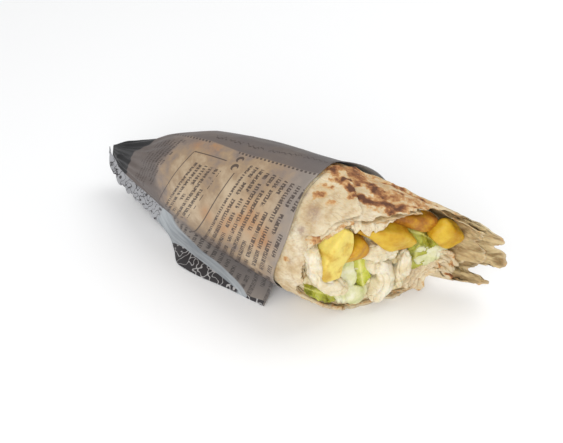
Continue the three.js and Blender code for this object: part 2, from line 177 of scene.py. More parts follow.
def stack(*parts):
    """Numbers that broadcast together, made into one array of points."""
    return np.stack(np.broadcast_arrays(*parts), axis=-1).astype(float)


# ---------------------------------------------------------------- the roll and the cut

LEAST_HALF = 0.2  # half the section's width and height are never less


def roll_point(x, angle, grow=0.0, floor=None):
    """The roll's outside at a station and an angle: a rounded box of the station's half width and height,
    moved out by grow and pressed flat at the floor."""
    floor = -grow if floor is None else floor
    top = through(TOP, x) + grow
    underside = through(UNDERSIDE, x) - grow
    half = np.maximum(through(HALF_WIDTH, x) + grow, LEAST_HALF)
    power = 2 / through(SQUARENESS, x)
    across = -signed_power(np.cos(angle), power)
    up = signed_power(np.sin(angle), power)
    rise = np.maximum((top - underside) / 2, LEAST_HALF)
    lean = through(LEAN, x) * across * np.maximum(up, 0)
    z = (top + underside) / 2 + rise * up + lean
    return stack(x, through(SIDEWAYS, x) + half * across, np.maximum(z, floor))


def arc_from(x, angle, start):
    """The distance round the roll from a start in degrees to each angle, growing as the angle falls: the
    turn between, times the mean over it of an ellipse's radius, of the station's width and height."""
    width = through(HALF_WIDTH, x)[..., None]
    height = ((through(TOP, x) - np.maximum(through(UNDERSIDE, x), 0)) / 2)[..., None]
    turn = np.radians(start) - angle
    turn = (turn + np.pi / 2) % (2 * np.pi) - np.pi / 2
    swept = np.radians(start) - turn[..., None] * np.linspace(0, 1, 25)
    radius = np.sqrt((width * np.sin(swept)) ** 2 + (height * np.cos(swept)) ** 2)
    return turn * radius.mean(axis=-1)


ACROSS = unit(np.array([CUT_SLOPE, 1.0, 0.0]))
UP = np.array([0.0, 0.0, 1.0])
OUT = unit(np.array([1.0, -CUT_SLOPE, 0.0]))


def cut_point(across, up, out):
    """A point of the cut's plane, by its distances along the cut, up, and out of it."""
    across, up, out = (np.asarray(v, float)[..., None] for v in (across, up, out))
    return np.array([CUT_X, 0.0, 0.0]) + across * ACROSS + up * UP + out * OUT


def cut_station(angle, grow):
    """The station where the roll meets the cut at an angle: the cut's at the roll's place across, which is
    taken at the last answer, six times over from 0."""
    x = np.zeros_like(angle)
    for _ in range(6):
        x = CUT_X + CUT_SLOPE * roll_point(x, angle, grow)[..., 1]
    return x


# ---------------------------------------------------------------- meshes

# A shape is its points and its faces, and the faces are arrays of point numbers, with one face to a row.


def grid_faces(rows, columns, closed=False):
    """Four-sided faces between a grid's neighbours, and from its last column to its first if closed."""
    i = np.arange(rows - 1)[:, None]
    j = np.arange(columns if closed else columns - 1)[None, :]
    k = (j + 1) % columns
    corners = (i * columns + j, (i + 1) * columns + j, (i + 1) * columns + k, i * columns + k)
    return np.stack(np.broadcast_arrays(*corners), axis=-1).reshape(-1, 4)


def strip_faces(one, other):
    """Faces that join two lines of point numbers."""
    return np.stack([one[:-1], other[:-1], other[1:], one[1:]], axis=-1)


def sheet(grid, thickness, closed=False):
    """A thin solid: two faces apart along the grid's normals, whose borders are joined. They lie on both
    sides of an open grid. A closed grid is the outer face, and is joined into a tube."""
    rows, columns = grid.shape[:2]
    along = np.gradient(grid, axis=0)
    if closed:
        across = np.roll(grid, -1, axis=1) - np.roll(grid, 1, axis=1)
    else:
        across = np.gradient(grid, axis=1)
    normal = unit(np.cross(along, across))
    if closed:
        away = grid - grid.mean(axis=1, keepdims=True)
        normal *= np.sign((normal * away).sum())
    thickness = np.broadcast_to(thickness, (rows, columns))[..., None]
    outer = grid if closed else grid + normal * thickness / 2
    inner = outer - normal * thickness
    under = rows * columns
    face = grid_faces(rows, columns, closed)
    number = np.arange(under).reshape(rows, columns)
    loop = [0] if closed else []
    first, last = (np.concatenate([line, line[loop]]) for line in (number[0], number[-1]))
    faces = [face, face[:, ::-1] + under]
    faces += [strip_faces(first + under, first), strip_faces(last, last + under)]
    if not closed:
        left, right = number[:, 0], number[:, -1]
        faces += [strip_faces(left, left + under), strip_faces(right + under, right)]
    return np.concatenate([outer.reshape(-1, 3), inner.reshape(-1, 3)]), faces


def loft(rings):
    """A closed solid through equal rings, whose first and last rings are closed to their middles."""
    rows, columns = rings.shape[:2]
    poles = rings[[0, -1]].mean(axis=1)
    j = np.arange(columns)
    k = (j + 1) % columns
    first, last = np.full(columns, rows * columns), np.full(columns, rows * columns + 1)
    start = (rows - 1) * columns
    fans = [np.stack([first, j, k], axis=-1), np.stack([last, start + k, start + j], axis=-1)]
    return np.concatenate([rings.reshape(-1, 3), poles]), [grid_faces(rows, columns, closed=True), *fans]


def face_values(grid, outer, inner=None):
    """Values at a sheet's points: its outer face's, then its inner one's, which are the same if not given.
    A value is a number, numbers that broadcast over the grid, or a vector at each of its points."""
    values = {}
    for name in outer:
        sides = [np.asarray(side[name], float) for side in (outer, inner or outer)]
        sides = [side if side.ndim == 3 else np.broadcast_to(side, grid.shape[:2]) for side in sides]
        values[name] = np.concatenate([side.reshape(-1, *side.shape[2:]) for side in sides])
    return values


def loft_values(rings, **values):
    """Values at a loft's points: each name's first over the rings, and its second at the two ends."""
    return {
        name: np.append(np.broadcast_to(over, rings.shape[:2]).ravel(), [end, end])
        for name, (over, end) in values.items()
    }


def join(parts):
    """Several (points, faces, values) as one, each one's point numbers moved on by the points before it."""
    starts = np.cumsum([0] + [len(points) for points, _, _ in parts])
    faces = [some + start for (_, part_faces, _), start in zip(parts, starts) for some in part_faces]
    values = {name: np.concatenate([part[2][name] for part in parts]) for name in parts[0][2]}
    return np.concatenate([part[0] for part in parts]), faces, values


def volume(points, faces):
    """The signed volume: a sixth of the sum of the corner products of each face's fan of triangles."""
    total = 0.0
    for some in faces:
        for last in range(2, some.shape[1]):
            a, b, c = (points[some[:, k]] for k in (0, last - 1, last))
            total += (a * np.cross(b, c)).sum() / 6
    return total


def make_piece(name, made, finish, slot, node):
    """A shown piece from (points, faces, values): its mesh in metres, with its values on its points."""
    points, faces, values = made
    if volume(points, faces) < 0:
        faces = [some[:, ::-1] for some in faces]
    mesh = bpy.data.meshes.new(name)
    mesh.from_pydata((points * MM).tolist(), [], [face for some in faces for face in some.tolist()])
    for value_name, value in values.items():
        kind, field = ("FLOAT_VECTOR", "vector") if value.ndim == 2 else ("FLOAT", "value")
        layer = mesh.attributes.new(value_name, kind, "POINT")
        layer.data.foreach_set(field, value.astype(np.float32).ravel())
    mesh.polygons.foreach_set("use_smooth", [True] * len(mesh.polygons))
    mesh.materials.append(finish)
    piece = bpy.data.objects.new(name, mesh)
    bpy.context.collection.objects.link(piece)
    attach(piece, "root")
    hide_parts(node)


# ---------------------------------------------------------------- materials

SOCKETS = {
    "roughness": "Roughness",
    "specular": "Specular IOR Level",
    "coat": "Coat Weight",
    "coat_roughness": "Coat Roughness",
    "depth": "Subsurface Weight",
    "radius": "Subsurface Radius",
}


def linear(shade):
    """A screen colour, which is three numbers from 0 to 255, in linear light."""
    share = np.array(shade) / 255
    light = np.where(share <= 0.04045, share / 12.92, ((share + 0.055) / 1.055) ** 2.4)
    return (*light.tolist(), 1.0)


class Finish:
    """A material with one Principled shader, and the nodes that feed it."""

    def __init__(self, name, **sockets):
        self.material = bpy.data.materials.new(name)
        self.material.use_nodes = True
        self.tree = self.material.node_tree
        self.shader = self.tree.nodes["Principled BSDF"]
        self.shader.inputs["Subsurface Scale"].default_value = MM  # the radius is in millimetres
        for socket, value in sockets.items():
            self.shader.inputs[SOCKETS[socket]].default_value = value
        self.place = self.add("TexCoord", "Object")

    def add(self, kind, output, sources=(), **settings):
        """One output of a new node with these settings. The sources are its inputs' names or numbers, and
        what each one is fed."""
        node = self.tree.nodes.new("ShaderNode" + kind)
        for name, value in settings.items():
            setattr(node, name, value)
        for socket, source in dict(sources).items():
            self.feed(node.inputs[socket], source)
        return Field(self, node.outputs[output])

    def feed(self, socket, source):
        """Links a field to a socket, or sets the socket to a number, a vector or a screen colour."""
        if isinstance(source, Field):
            self.tree.links.new(source.socket, socket)
        else:
            socket.default_value = linear(source) if socket.type == "RGBA" else source

    def value(self, name):
        """A number that the piece's mesh carries at each point."""
        return self.add("Attribute", "Fac", attribute_name=name)

    def vector(self, name):
        """A vector that the piece's mesh carries at each point."""
        return self.add("Attribute", "Vector", attribute_name=name)

    def parts_of(self, name):
        """The three parts of such a vector."""
        first = self.add("SeparateXYZ", 0, {0: self.vector(name)})
        return [Field(self, part) for part in first.socket.node.outputs]

    def combine(self, *parts):
        """A vector from its three parts."""
        return self.add("CombineXYZ", 0, enumerate(parts))

    def done(self, base, height, depth):
        """The material, its shader fed a colour, and a bump of this depth in millimetres by the height."""
        bump = self.add("Bump", 0, {"Strength": 1.0, "Distance": depth * MM, "Height": height})
        self.feed(self.shader.inputs["Base Color"], base)
        self.feed(self.shader.inputs["Normal"], bump)
        return self.material


class Field:
    """A number, vector or colour that varies over a piece: an output of one of its finish's nodes.
    Arithmetic with fields adds the nodes that work it out."""

    def __init__(self, finish, socket):
        self.finish = finish
        self.socket = socket

    def maths(self, operation, *others):
        """One step of arithmetic."""
        return self.finish.add("Math", 0, enumerate([self, *others]), operation=operation)

    def __add__(self, other):
        return self.maths("ADD", other)

    def __sub__(self, other):
        return self.maths("SUBTRACT", other)

    def __mul__(self, other):
        return self.maths("MULTIPLY", other)

    def __truediv__(self, other):
        return self.maths("DIVIDE", other)

    def __abs__(self):
        return self.maths("ABSOLUTE")

    def length_with(self, other):
        """The length of a flat vector with these two parts: the root of the sum of their squares."""
        flat = self.finish.combine(self, other, 0.0)
        return self.finish.add("VectorMath", "Value", {0: flat}, operation="LENGTH")

    def noise(self, scale, detail=2.0, roughness=0.5):
        """Noise from about 0.2 to 0.8 at the places that this vector gives, scale cells to a unit."""
        sources = {"Vector": self, "Scale": scale, "Detail": detail, "Roughness": roughness}
        return self.finish.add("TexNoise", 0, sources)

    def rise(self, low, high, bottom=0.0, top=1.0):
        """bottom below low, top above high, and a smooth step between."""
        sources = enumerate([self, low, high, bottom, top])
        return self.finish.add("MapRange", 0, sources, interpolation_type="SMOOTHSTEP")

    def blend(self, one, other):
        """The first colour where this is 0, the second where it is 1, and their mix between."""
        return self.finish.add("Mix", 2, {0: self, 6: one, 7: other}, data_type="RGBA")

    def bands(self, *stops):
        """A colour from this number by (place, colour) stops, blended between them."""
        field = self.finish.add("ValToRGB", 0, {0: self})
        ramp = field.socket.node.color_ramp.elements
        while len(ramp) < len(stops):
            ramp.new(0.5)
        for element, (at, shade) in zip(ramp, stops):
            element.position = at
            element.color = linear(shade)
        return field


def most(*fields):
    """The greatest of the fields."""
    return reduce(lambda one, other: one.maths("MAXIMUM", other), fields)


# ---------------------------------------------------------------- paper

SLEEVE_FRONT_X = 20.0
GATHERED_X = -100.0  # the tail is gathered, and its stations lie closer together, before this
PAPER_THICKNESS = 0.3
GATHERS = [(TAIL_X, 0), (-114, 0.6), (-95, 0.8), (-70, 0.3), (-50, 0)]  # how deep they are, by station
# How far the print's rows lean along X for each millimetre round the roll, by station.
PRINT_SLANT = [(-100, 0.5), (-75, 0.66), (-55, 0.57), (-30, 0.4), (0, 0.24), (20, 0.14)]
PRINT_START = 70.0  # the angle that the print's rows start from
# The line of dots that parts the pale print from the dark strip above it: its angle by station.
DOT_LINE = [
    (-121, 112), (-95, 107), (-78, 99), (-62, 86), (-43, 81.5), (-22, 78.5), (3, 82), (24, 87), (45, 92),
]
# How far beyond that line the scrawl in the strip runs, by station.
SCRAWL_LINE = [(-45, 5), (-28, 6.8), (-11, 8), (1, 10.5), (15, 13.5), (24, 14)]
# Where the tail turns black, by angle.
TAIL_BORDER = [
    (-40, -109), (0, -104.5), (47, -101), (67, -97.5), (84, -93), (100, -88), (118, -84), (150, -80),
]
# Where sauce has come through: station, angle and half size in millimetres.
STAINS = [
    (-53, 75, 3.6), (-42.5, 75, 4.2), (-39, 74, 3), (-33, 10, 4.5), (4.5, 13, 5), (8.5, 19, 4.4),
    (-3.5, 30, 8), (-14, 20, 6), (-22, 6, 5),
]
STAIN_ROUND = 31.0  # the paper's mean radius there


def sleeve_edge(angle):
    """Where the sleeve ends: furthest behind, least low in front, and wavy by three waves round."""
    reach = 25 * hump(angle, 189, 49) + 8 * hump(angle, 150, 22)
    reach = reach - 5.6 * hump(angle, 338, 38) + 3 * hump(angle, 92, 20)
    return SLEEVE_FRONT_X + reach + 1.2 * np.sin(3 * angle)


def sleeve_grow(x, angle):
    """How far the paper stands off the roll: gathered folds towards the tail, long soft creases, a flared
    mouth behind and a mouth that lifts a little off the bread."""
    points = roll_point(x, angle)
    long = stack(x * 0.3, points[..., 1], points[..., 2])
    folds = through(GATHERS, x) * (np.sin(7 * angle + 0.05 * x) + 0.5 * np.sin(19 * angle - 0.08 * x) - 0.5)
    crush = smooth(x, -70, -112) * 1.1 * (creased(long, 7, 3) - 0.6)
    soft = 0.35 * rough(long, 11, 5) + 0.28 * (creased(points, 21, 8) - 0.4) * smooth(x, 22, 0)
    flare = 3.4 * hump(angle, 140, 42) * smooth(x, 4, 42)
    lift = 0.5 * smooth(x, sleeve_edge(angle) - 5, sleeve_edge(angle)) * (1 + noise(points, 9, 12))
    return folds + crush + soft + flare + lift


def print_place(x, angle):
    """The flat paper's coordinates: rows run down round the roll, and lean back towards the tail."""
    down = arc_from(x, angle, PRINT_START)
    return stack(x + through(PRINT_SLANT, x) * down, down, 0)


def paper_tones(x, angle, grid):
    """The first value is how greasy the paper is: high where it is soaked and warm, and lowered along the
    lower front, in the crease where the loose edge starts, as painted shade. Then stain where sauce has
    come through, and ink the black of the tail, as the distance past its border."""
    grease_and_painted_shade = 0.45 + 0.2 * rough(grid, 18, 21) + 0.3 * hump(angle, 15, 42) * smooth(x, -90, -60)
    # painted shade: the hump round 318 degrees darkens the lower front, in the crease where the loose edge
    # starts
    grease_and_painted_shade = grease_and_painted_shade - 0.65 * smooth(x, -58, -88) - 0.3 * hump(angle, 318, 22) - 0.25 * smooth(x, 4, 24)
    stain = sum(
        bell(np.hypot(x - at, round_from(angle, turn, STAIN_ROUND)), 0, size)
        for at, turn, size in STAINS
    )
    return {"grease_and_painted_shade": grease_and_painted_shade, "stain": stain, "ink": through(TAIL_BORDER, degrees_from(angle, 0)) - x}


def make_sleeve():
    """The tube, from the gathered tail to the edge, and one thickness inward to the lining."""
    tail = np.linspace(TAIL_X, GATHERED_X, 26)[:-1]
    station = np.concatenate([tail, np.linspace(GATHERED_X, SLEEVE_FRONT_X, 128)])[:, None]
    angle = around(230, -np.pi / 2)
    x = station + (sleeve_edge(angle) - SLEEVE_FRONT_X) * smooth(station, -50, SLEEVE_FRONT_X)
    angle = np.broadcast_to(angle, x.shape)
    grid = roll_point(x, angle, sleeve_grow(x, angle), floor=0.0)
    points, faces = sheet(grid, PAPER_THICKNESS, closed=True)
    beyond = -arc_from(x, angle, 90.0) - np.radians(through(DOT_LINE, x) - 90) * through(HALF_WIDTH, x)
    outer = {
        "print": print_place(x, angle),
        "line": stack(x, beyond, beyond - through(SCRAWL_LINE, x)),
        # marks the inner face, which the paper's finish paints pale, partly as painted light where it lies
        # in shade
        "lining": 0.0,
        **paper_tones(x, angle, grid),
    }
    return points, faces, face_values(grid, outer, {**outer, "lining": 1.0})


# The loose edge: how low on the roll its root lies, and where its outer border runs, by station.
FLAP_FRONT_X = 8.0
FLAP_ROOT_ANGLE = [
    (TAIL_X, 340), (-118, 322), (-112, 314), (-95, 313), (-73, 312), (-40, 312), (FLAP_FRONT_X, 317),
]
FLAP_OUT_X = [
    (TAIL_X, -125.6), (-118, -124), (-113, -118), (-108, -113.3), (-102, -106.8), (-95, -98.8),
    (-86, -88.8), (-78, -81), (-66, -68.5), (FLAP_FRONT_X, 7.5),
]
FLAP_OUT_Y = [
    (TAIL_X, 14), (-118, 11), (-113, 7), (-108, 4), (-102, 2), (-95, -0.4), (-86, -2), (-78, -5),
    (-66, -10.5), (-57, -19), (-48, -28.5), (-12, -31.5), (FLAP_FRONT_X, -33.3),
]
FLAP_OUT_Z = [
    (TAIL_X, 26), (-118, 18), (-113, 15), (-108, 12), (-102, 10), (-95, 8), (-86, 5), (-78, 3), (-66, 0.8),
    (-60, 0.45), (FLAP_FRONT_X, 0.45),
]
# The upper border of its bare band: Y by X.
BAND_TOP = [
    (-80.5, 1.5), (-62, -8.4), (-43.8, -15.7), (-27.5, -20.7), (-10.6, -27.5), (-1.3, -32.7),
    (FLAP_FRONT_X, -36),
]
# Its black field: a point and the slope of the line along its top, its middle and half length along X, and
# how much softer its sides are than its top. Its black corner: the middle, the half length and the top.
BLACK_LINE_AT, BLACK_LINE_SLOPE = (-62.5, -15.3), -0.29
BLACK_MIDDLE_X, BLACK_HALF, BLACK_SIDE = -36.5, 26.25, 17.5
CORNER_MIDDLE_X, CORNER_HALF, CORNER_Y = 1.4, 5.4, -31.2
FLAP_DOWN = 24.0  # how far its print runs on, from its root to its border


def make_flap():
    """The loose edge: rows run straight from the roll to the table with a sag, crumpled at the tail."""
    row = np.linspace(TAIL_X, FLAP_FRONT_X, 280)[:, None]
    share = np.linspace(0, 1, 60)[None, :]
    turn = np.radians(through(FLAP_ROOT_ANGLE, row))
    root = roll_point(row, turn, sleeve_grow(row, turn) - PAPER_THICKNESS / 2, 0.3)
    end = stack(through(FLAP_OUT_X, row), through(FLAP_OUT_Y, row), through(FLAP_OUT_Z, row))
    grid = root + (end - root) * share[..., None]
    crush = 1 - smooth(row, -84, -70)
    grid[..., 2] -= 2.2 * np.sin(np.pi * share) * (1 - share) * smooth(row, -100, -70)
    fold = 2.2 * (creased(grid, 6, 31) - 0.6) + 1.2 * noise(grid, 3, 32)
    ripple = 0.35 * rough(grid, 14, 33) + 0.35 * (creased(grid, 13, 34) - 0.5)
    lift = (fold * crush + ripple * (1 - crush)) * smooth(share, 0, 0.25)
    grid[..., 2] = np.maximum(grid[..., 2] + lift, 0.2)
    grid[..., 1] += 0.8 * fold * crush * share
    x, y = grid[..., 0], grid[..., 1]
    points, faces = sheet(grid, PAPER_THICKNESS)
    below_line = BLACK_LINE_AT[1] + BLACK_LINE_SLOPE * (x - BLACK_LINE_AT[0]) - y
    values = {
        "print": print_place(row, turn) + stack(0, FLAP_DOWN * share, 0),
        "film": through(BAND_TOP, x) - y,
        "black": np.minimum(below_line, (BLACK_HALF - abs(x - BLACK_MIDDLE_X)) / BLACK_SIDE),
        "corner": np.minimum(CORNER_Y - y, CORNER_HALF - abs(x - CORNER_MIDDLE_X)),
        "crush": crush,
        # painted shadow of the roll on the loose edge: darkest at its root and towards the front
        "shade": smooth(row, -60, -15) * (1 - share),
        # painted highlights: places that stretch a noise into streaks along the bare band
        "painted_highlight_streak": stack(through(BAND_TOP, x) - y, 0.06 * x, 0),
    }
    return points, faces, face_values(grid, values)


# ---------------------------------------------------------------- the paper's print and finishes

# The print lies on the flat paper: u along the roll and v down round it. Blocks of marks: their rectangle
# as from and to along u, then v, the spacing of their rows, the pitch of their marks, and a seed.
PRINT_BLOCKS = [
    ((-86, -64, -4, 26), 3.0, 1.0, 1.0), ((-43.5, -26, 8, 50), 3.4, 1.5, 5.0),
    ((-14, 22, 0, 78), 3.8, 1.4, 9.0),
]
FLAP_ROWS = (3.4, 1.2, 9.0)  # the loose edge's rows: spacing, pitch and seed
RULE_WIDTH = 0.8
RULES_ROUND = [(-50.2, 2.4, 60), (-18.6, 7, 60)]  # lines round the roll: u, and from and to along v
RULES_ALONG = [(2.4, -50.2, -28)]  # lines along it: v, and from and to along u
DOT_RUNS = [(-80, -44), (-25, 24)]  # the stations that the line of dots runs between
DOT_SPACING = 2.35
DOT_RADIUS = 0.72
ROUND_MARKS = [(-22, -0.8), (-21, 4.2)]
MARK_RADIUS = 2.2
# The bite out of each mark: its place from the mark's middle, and its share of the mark's radius.
BITE_PLACE, BITE_SHARE = (0.7, 0.8), 0.62
SCRAWL_REACH = (-46, 26, -6.0, 6.0)  # the stations that the scrawl runs between, and how far to its sides
PRINT_INK = (62, 50, 46)


def within(u, v, block):
    """1 inside a rectangle of the flat paper, 0 outside, with a soft border just inside it."""
    left, right, near, far = block
    soft = 0.2
    between = u.rise(left, left + soft) * u.rise(right, right - soft)
    return between * v.rise(near, near + soft) * v.rise(far, far - soft)


def greeked_rows(u, v, spacing, pitch, seed):
    """Rows of marks that stand for print: in each cell of the pitch along a row an upright stroke, joined
    to its neighbours where a fine noise is high, and gaps where a coarse one is low."""
    count = u / spacing
    row = count.maths("FLOOR")
    across = count.maths("FRACT")
    band = across.rise(0.14, 0.24) * across.rise(0.78, 0.68)
    place = v / pitch + row * 7.31
    stroke = abs(place.maths("FRACT") - 0.4).rise(0.27, 0.17)
    lane = row * 3.7
    fine = u.finish.combine(place * 1.9, across * 2.8, lane)
    coarse = u.finish.combine(place.maths("FLOOR") * 0.27, lane, seed)
    joined = fine.noise(1.0, 0.0).rise(0.5, 0.56)
    return band * most(stroke, joined) * coarse.noise(1.0, 0.0).rise(0.35, 0.39)


def print_block(u, v, block, spacing, pitch, seed):
    """Rows of marks inside a rectangle, whose far ends are uneven by a number for each row."""
    near, far = block[2:]
    row = (u / spacing).maths("FLOOR")
    short = u.finish.combine(row, seed, 0.0).noise(0.77, 0.0).rise(0.3, 0.7, 0.0, (far - near) * 0.22)
    rows = greeked_rows(u, v, spacing, pitch, seed)
    return rows * (v + short).rise(far, far - 0.2) * within(u, v, block)


def rule(across, along, at, start, end):
    """A thin straight line of the print, from start to end along it, at a place across."""
    return within(across, along, (at - RULE_WIDTH / 2, at + RULE_WIDTH / 2, start, end))


def dotted(x, beyond, start, end):
    """Round dots on the line, between two stations, by the distance to the middle of each spacing."""
    along = ((x / DOT_SPACING).maths("FRACT") - 0.5) * DOT_SPACING
    dots = along.length_with(beyond).rise(DOT_RADIUS + 0.12, DOT_RADIUS - 0.12)
    return dots * within(x, beyond, (start, end, -2.0, 2.0))


def scrawl(x, beside):
    """A thin line that loops up and down by a wave, whose pace and height wander by noise."""
    sway = x.finish.combine(x, 0.0, 0.0).noise(0.3, 2.0, 0.7)
    loops = (x * 2.1 + sway * 14.0).maths("SINE") * sway.rise(0.35, 0.65, 0.4, 1.3)
    line = abs(beside - (loops + (sway - 0.5) * 5.0)).rise(0.65, 0.3)
    runs = x.finish.combine(x, 5.0, 0.0).noise(0.21, 0.0).rise(0.38, 0.42)
    return line * runs * within(x, beside, SCRAWL_REACH)


def disc(u, v, at, radius):
    """1 less than a radius from a place of the flat paper."""
    return (u - at[0]).length_with(v - at[1]).rise(radius, radius - 0.3)


def bitten_mark(u, v, at):
    """A round mark with a round bite out of it."""
    bite_at = (at[0] + BITE_PLACE[0], at[1] + BITE_PLACE[1])
    return disc(u, v, at, MARK_RADIUS) - disc(u, v, bite_at, MARK_RADIUS * BITE_SHARE)


def curled_lines(finish, scale, width):
    """Plain curls: the lines where a smooth noise crosses its middle, wide where it changes slowly."""
    return abs(finish.place.noise(scale, 0.0) - 0.5).rise(width, width * 0.5)


def paper_base(finish):
    """Greaseproof paper: cool grey, mottled with warm greasy patches, darker grey along its lower front by
    painted shade, and stained by sauce.
    """
    mottle = finish.place.noise(130.0, 4.0, 0.6)
    grease_and_painted_shade = (finish.value("grease_and_painted_shade") + (mottle - 0.5) * 0.9).rise(0.0, 1.0)
    tone = grease_and_painted_shade.bands(
        (0.0, (98, 88, 83)), (0.3, (134, 118, 106)), (0.6, (158, 134, 106)), (1.0, (192, 172, 144)),
    )
    stain = finish.value("stain") * mottle.rise(0.36, 0.62, 0.15, 0.85)
    return stain.blend(tone, (172, 122, 76))


def printed_paper():
    """The tube's paper, printed with rows of marks, rules, dots and round marks, dark beyond the dots and
    black at the tail. Its inner face is pale blue-grey, partly the paper's bare back and partly painted
    light that lifts it where it lies in shade, with the print showing through."""
    finish = Finish("printed_greaseproof", roughness=0.5, coat=0.15, coat_roughness=0.35, specular=0.4)
    u, v, _ = finish.parts_of("print")
    x, beyond, beside = finish.parts_of("line")
    tone = x.rise(2.0, 22.0, 0.0, 0.7).blend(paper_base(finish), (156, 146, 136))
    dark = beyond.rise(4.0, 24.0).blend((96, 87, 84), (56, 50, 52))
    tone = (beyond.rise(0.2, 1.2) * 0.88).blend(tone, dark)
    printed = most(
        *[print_block(u, v, *block) for block in PRINT_BLOCKS],
        *[rule(u, v, *line) for line in RULES_ROUND],
        *[rule(v, u, *line) for line in RULES_ALONG],
        *[dotted(x, beyond, *run) for run in DOT_RUNS],
        *[bitten_mark(u, v, at) for at in ROUND_MARKS],
        scrawl(x, beside),
    )
    tone = (printed * 0.86).blend(tone, PRINT_INK)
    tone = finish.value("ink").rise(-0.4, 0.4).blend(tone, (18, 17, 20))
    # the inner face: pale blue-grey, partly the paper's bare back and partly painted light that lifts it
    # where it lies in shade
    tone = finish.value("lining").blend(tone, printed.blend((168, 174, 184), (120, 118, 120)))
    return finish.done(tone, finish.place.noise(900.0, 3.0, 0.6), 0.12)


def flap_paper():
    """The loose edge's paper: printed and grey near the roll, with painted shadow of the roll darkening it
    towards its root and the front, a bare pale band with painted highlight streaks along it, black with
    white strokes on the table, and pale with dark strokes where it is crushed at the tail."""
    finish = Finish("loose_edge_paper", roughness=0.42, coat=0.2, coat_roughness=0.3, specular=0.45)
    u, v, _ = finish.parts_of("print")
    mottle = finish.place.noise(120.0, 4.0, 0.6)
    near = mottle.blend((124, 115, 108), (152, 142, 133))
    # painted shadow of the roll darkens the print near the root
    near = finish.value("shade").blend(near, (92, 85, 82))
    near = (greeked_rows(u, v, *FLAP_ROWS) * 0.8).blend(near, (60, 54, 52))
    # painted highlights: pale streaks that run along the bare band
    streaks = finish.vector("painted_highlight_streak").noise(0.55, 3.0, 0.6).rise(0.3, 0.7)
    band = streaks.blend((132, 138, 144), (176, 181, 184))
    tone = finish.value("film").rise(-0.5, 0.5).blend(near, band)
    black = most(finish.value("black"), finish.value("corner")).rise(-0.05, 0.05)
    drawn = curled_lines(finish, 300.0, 0.045).blend((44, 40, 42), (176, 174, 173))
    crushed = mottle.blend((120, 120, 124), (190, 191, 194))
    crushed = curled_lines(finish, 380.0, 0.05).blend(crushed, (58, 55, 57))
    tone = finish.value("crush").rise(0.4, 0.6).blend(black.blend(tone, drawn), crushed)
    return finish.done(tone, finish.place.noise(900.0, 3.0), 0.1)


make_piece("sleeve_tube", make_sleeve(), printed_paper(), "paper", "paper_sleeve")
make_piece("sleeve_loose_edge", make_flap(), flap_paper(), "paper", "paper_flap")

# ---------------------------------------------------------------- bread

BREAD_BACK_X = -60.0  # the shell starts here, inside the sleeve
BREAD_EDGE_WALL = 0.9  # the wall's thickness at the torn edge
BREAD_BODY_WALL = 1.5  # how much thicker it is well back from that
ROUND_BY = 34.0  # the bread's mean radius, which turns angles into distances on it
# The lengthwise step on top where the sheet overlaps: its angle by station.
SEAM = [(20, 124), (50, 127), (78, 134)]
# Toasted streaks on the outside: from station and angle, to station and angle, half width, strength.
TOAST = [
    (22, 118, 27, 98, 4.8, 0.8), (28, 88, 34, 93, 2.0, 0.9), (34, 93, 40, 101, 2.6, 1.08),
    (36, 92, 40, 90, 2.6, 1.08), (29.5, 82, 31, 82.5, 2.2, 0.62), (26, 69, 28.5, 72, 1.8, 0.55),
    (41, 82, 43.5, 87, 1.7, 0.95), (43.5, 88.5, 47.5, 90, 2.2, 1.1), (47.5, 90, 55, 92, 2.4, 1.05),
    (56, 96, 59, 91, 2.2, 1.0), (59, 91, 62.5, 88, 2.0, 0.92), (56, 96, 63.5, 98, 2.2, 0.95),
    (59.5, 97, 69.5, 108, 1.5, 0.85), (46, 107, 58, 105, 4.0, 0.78), (25, 123, 50, 125.5, 0.9, 0.95),
    (50, 125.5, 76, 132, 0.9, 0.9), (21, 11, 24, 13, 1.3, 0.5), (39, 112, 67, 121, 1.4, 0.75),
    (33, 66, 37, 72, 1.2, 0.3),
]
# Wide fields: station, angle, half length, half turn in degrees, and how toasted, or how pale if negative.
TOAST_FIELDS = [
    (32, 112, 15, 17, 0.62), (53, 104, 16, 14, 0.56), (56, 131, 26, 6, 0.34), (72, 108, 9, 22, 0.3),
    (43.5, 95.5, 4.5, 3.6, -0.8), (49, 116, 5, 4, -0.5), (52, 87.5, 5, 3, 0.32), (28, 77, 3, 4, 0.2),
]
# Grey pink bruises where the crumb shows through: station, angle, half size in millimetres.
BRUISES = [(30, 55, 3.8), (27.5, 40, 2.4), (22, 66, 2), (36, 30, 1.8), (24, 12, 2)]
# A browned spot inside the tongues: station, angle, half length, half width.
BROWN_SPOT = (91, 190, 4, 3)
# Size, level and seed of each layer of flakes.
FLAKES = [(13, 0.05, 401), (9, -0.2, 402), (7, 0.2, 403), (5, 0.35, 404)]
PLAIN_BREAD = dict.fromkeys(("toast", "bruise", "line", "rim", "inside", "olive"), 0.0)
# Height and size of the noises that make a torn line ragged: the bread's edge, and the pale lobe's.
EDGE_RAGS = [(1.7, 6), (1.1, 2.4), (0.6, 1.1)]
LOBE_RAGS = [(0.8, 6), (0.5, 2.2), (0.25, 1.0)]


def bread_floor(x):
    """How low the bread may lie: on the paper, and sinking to the table past the sleeve."""
    return -SKIN * (1 - smooth(x, 24, 44))


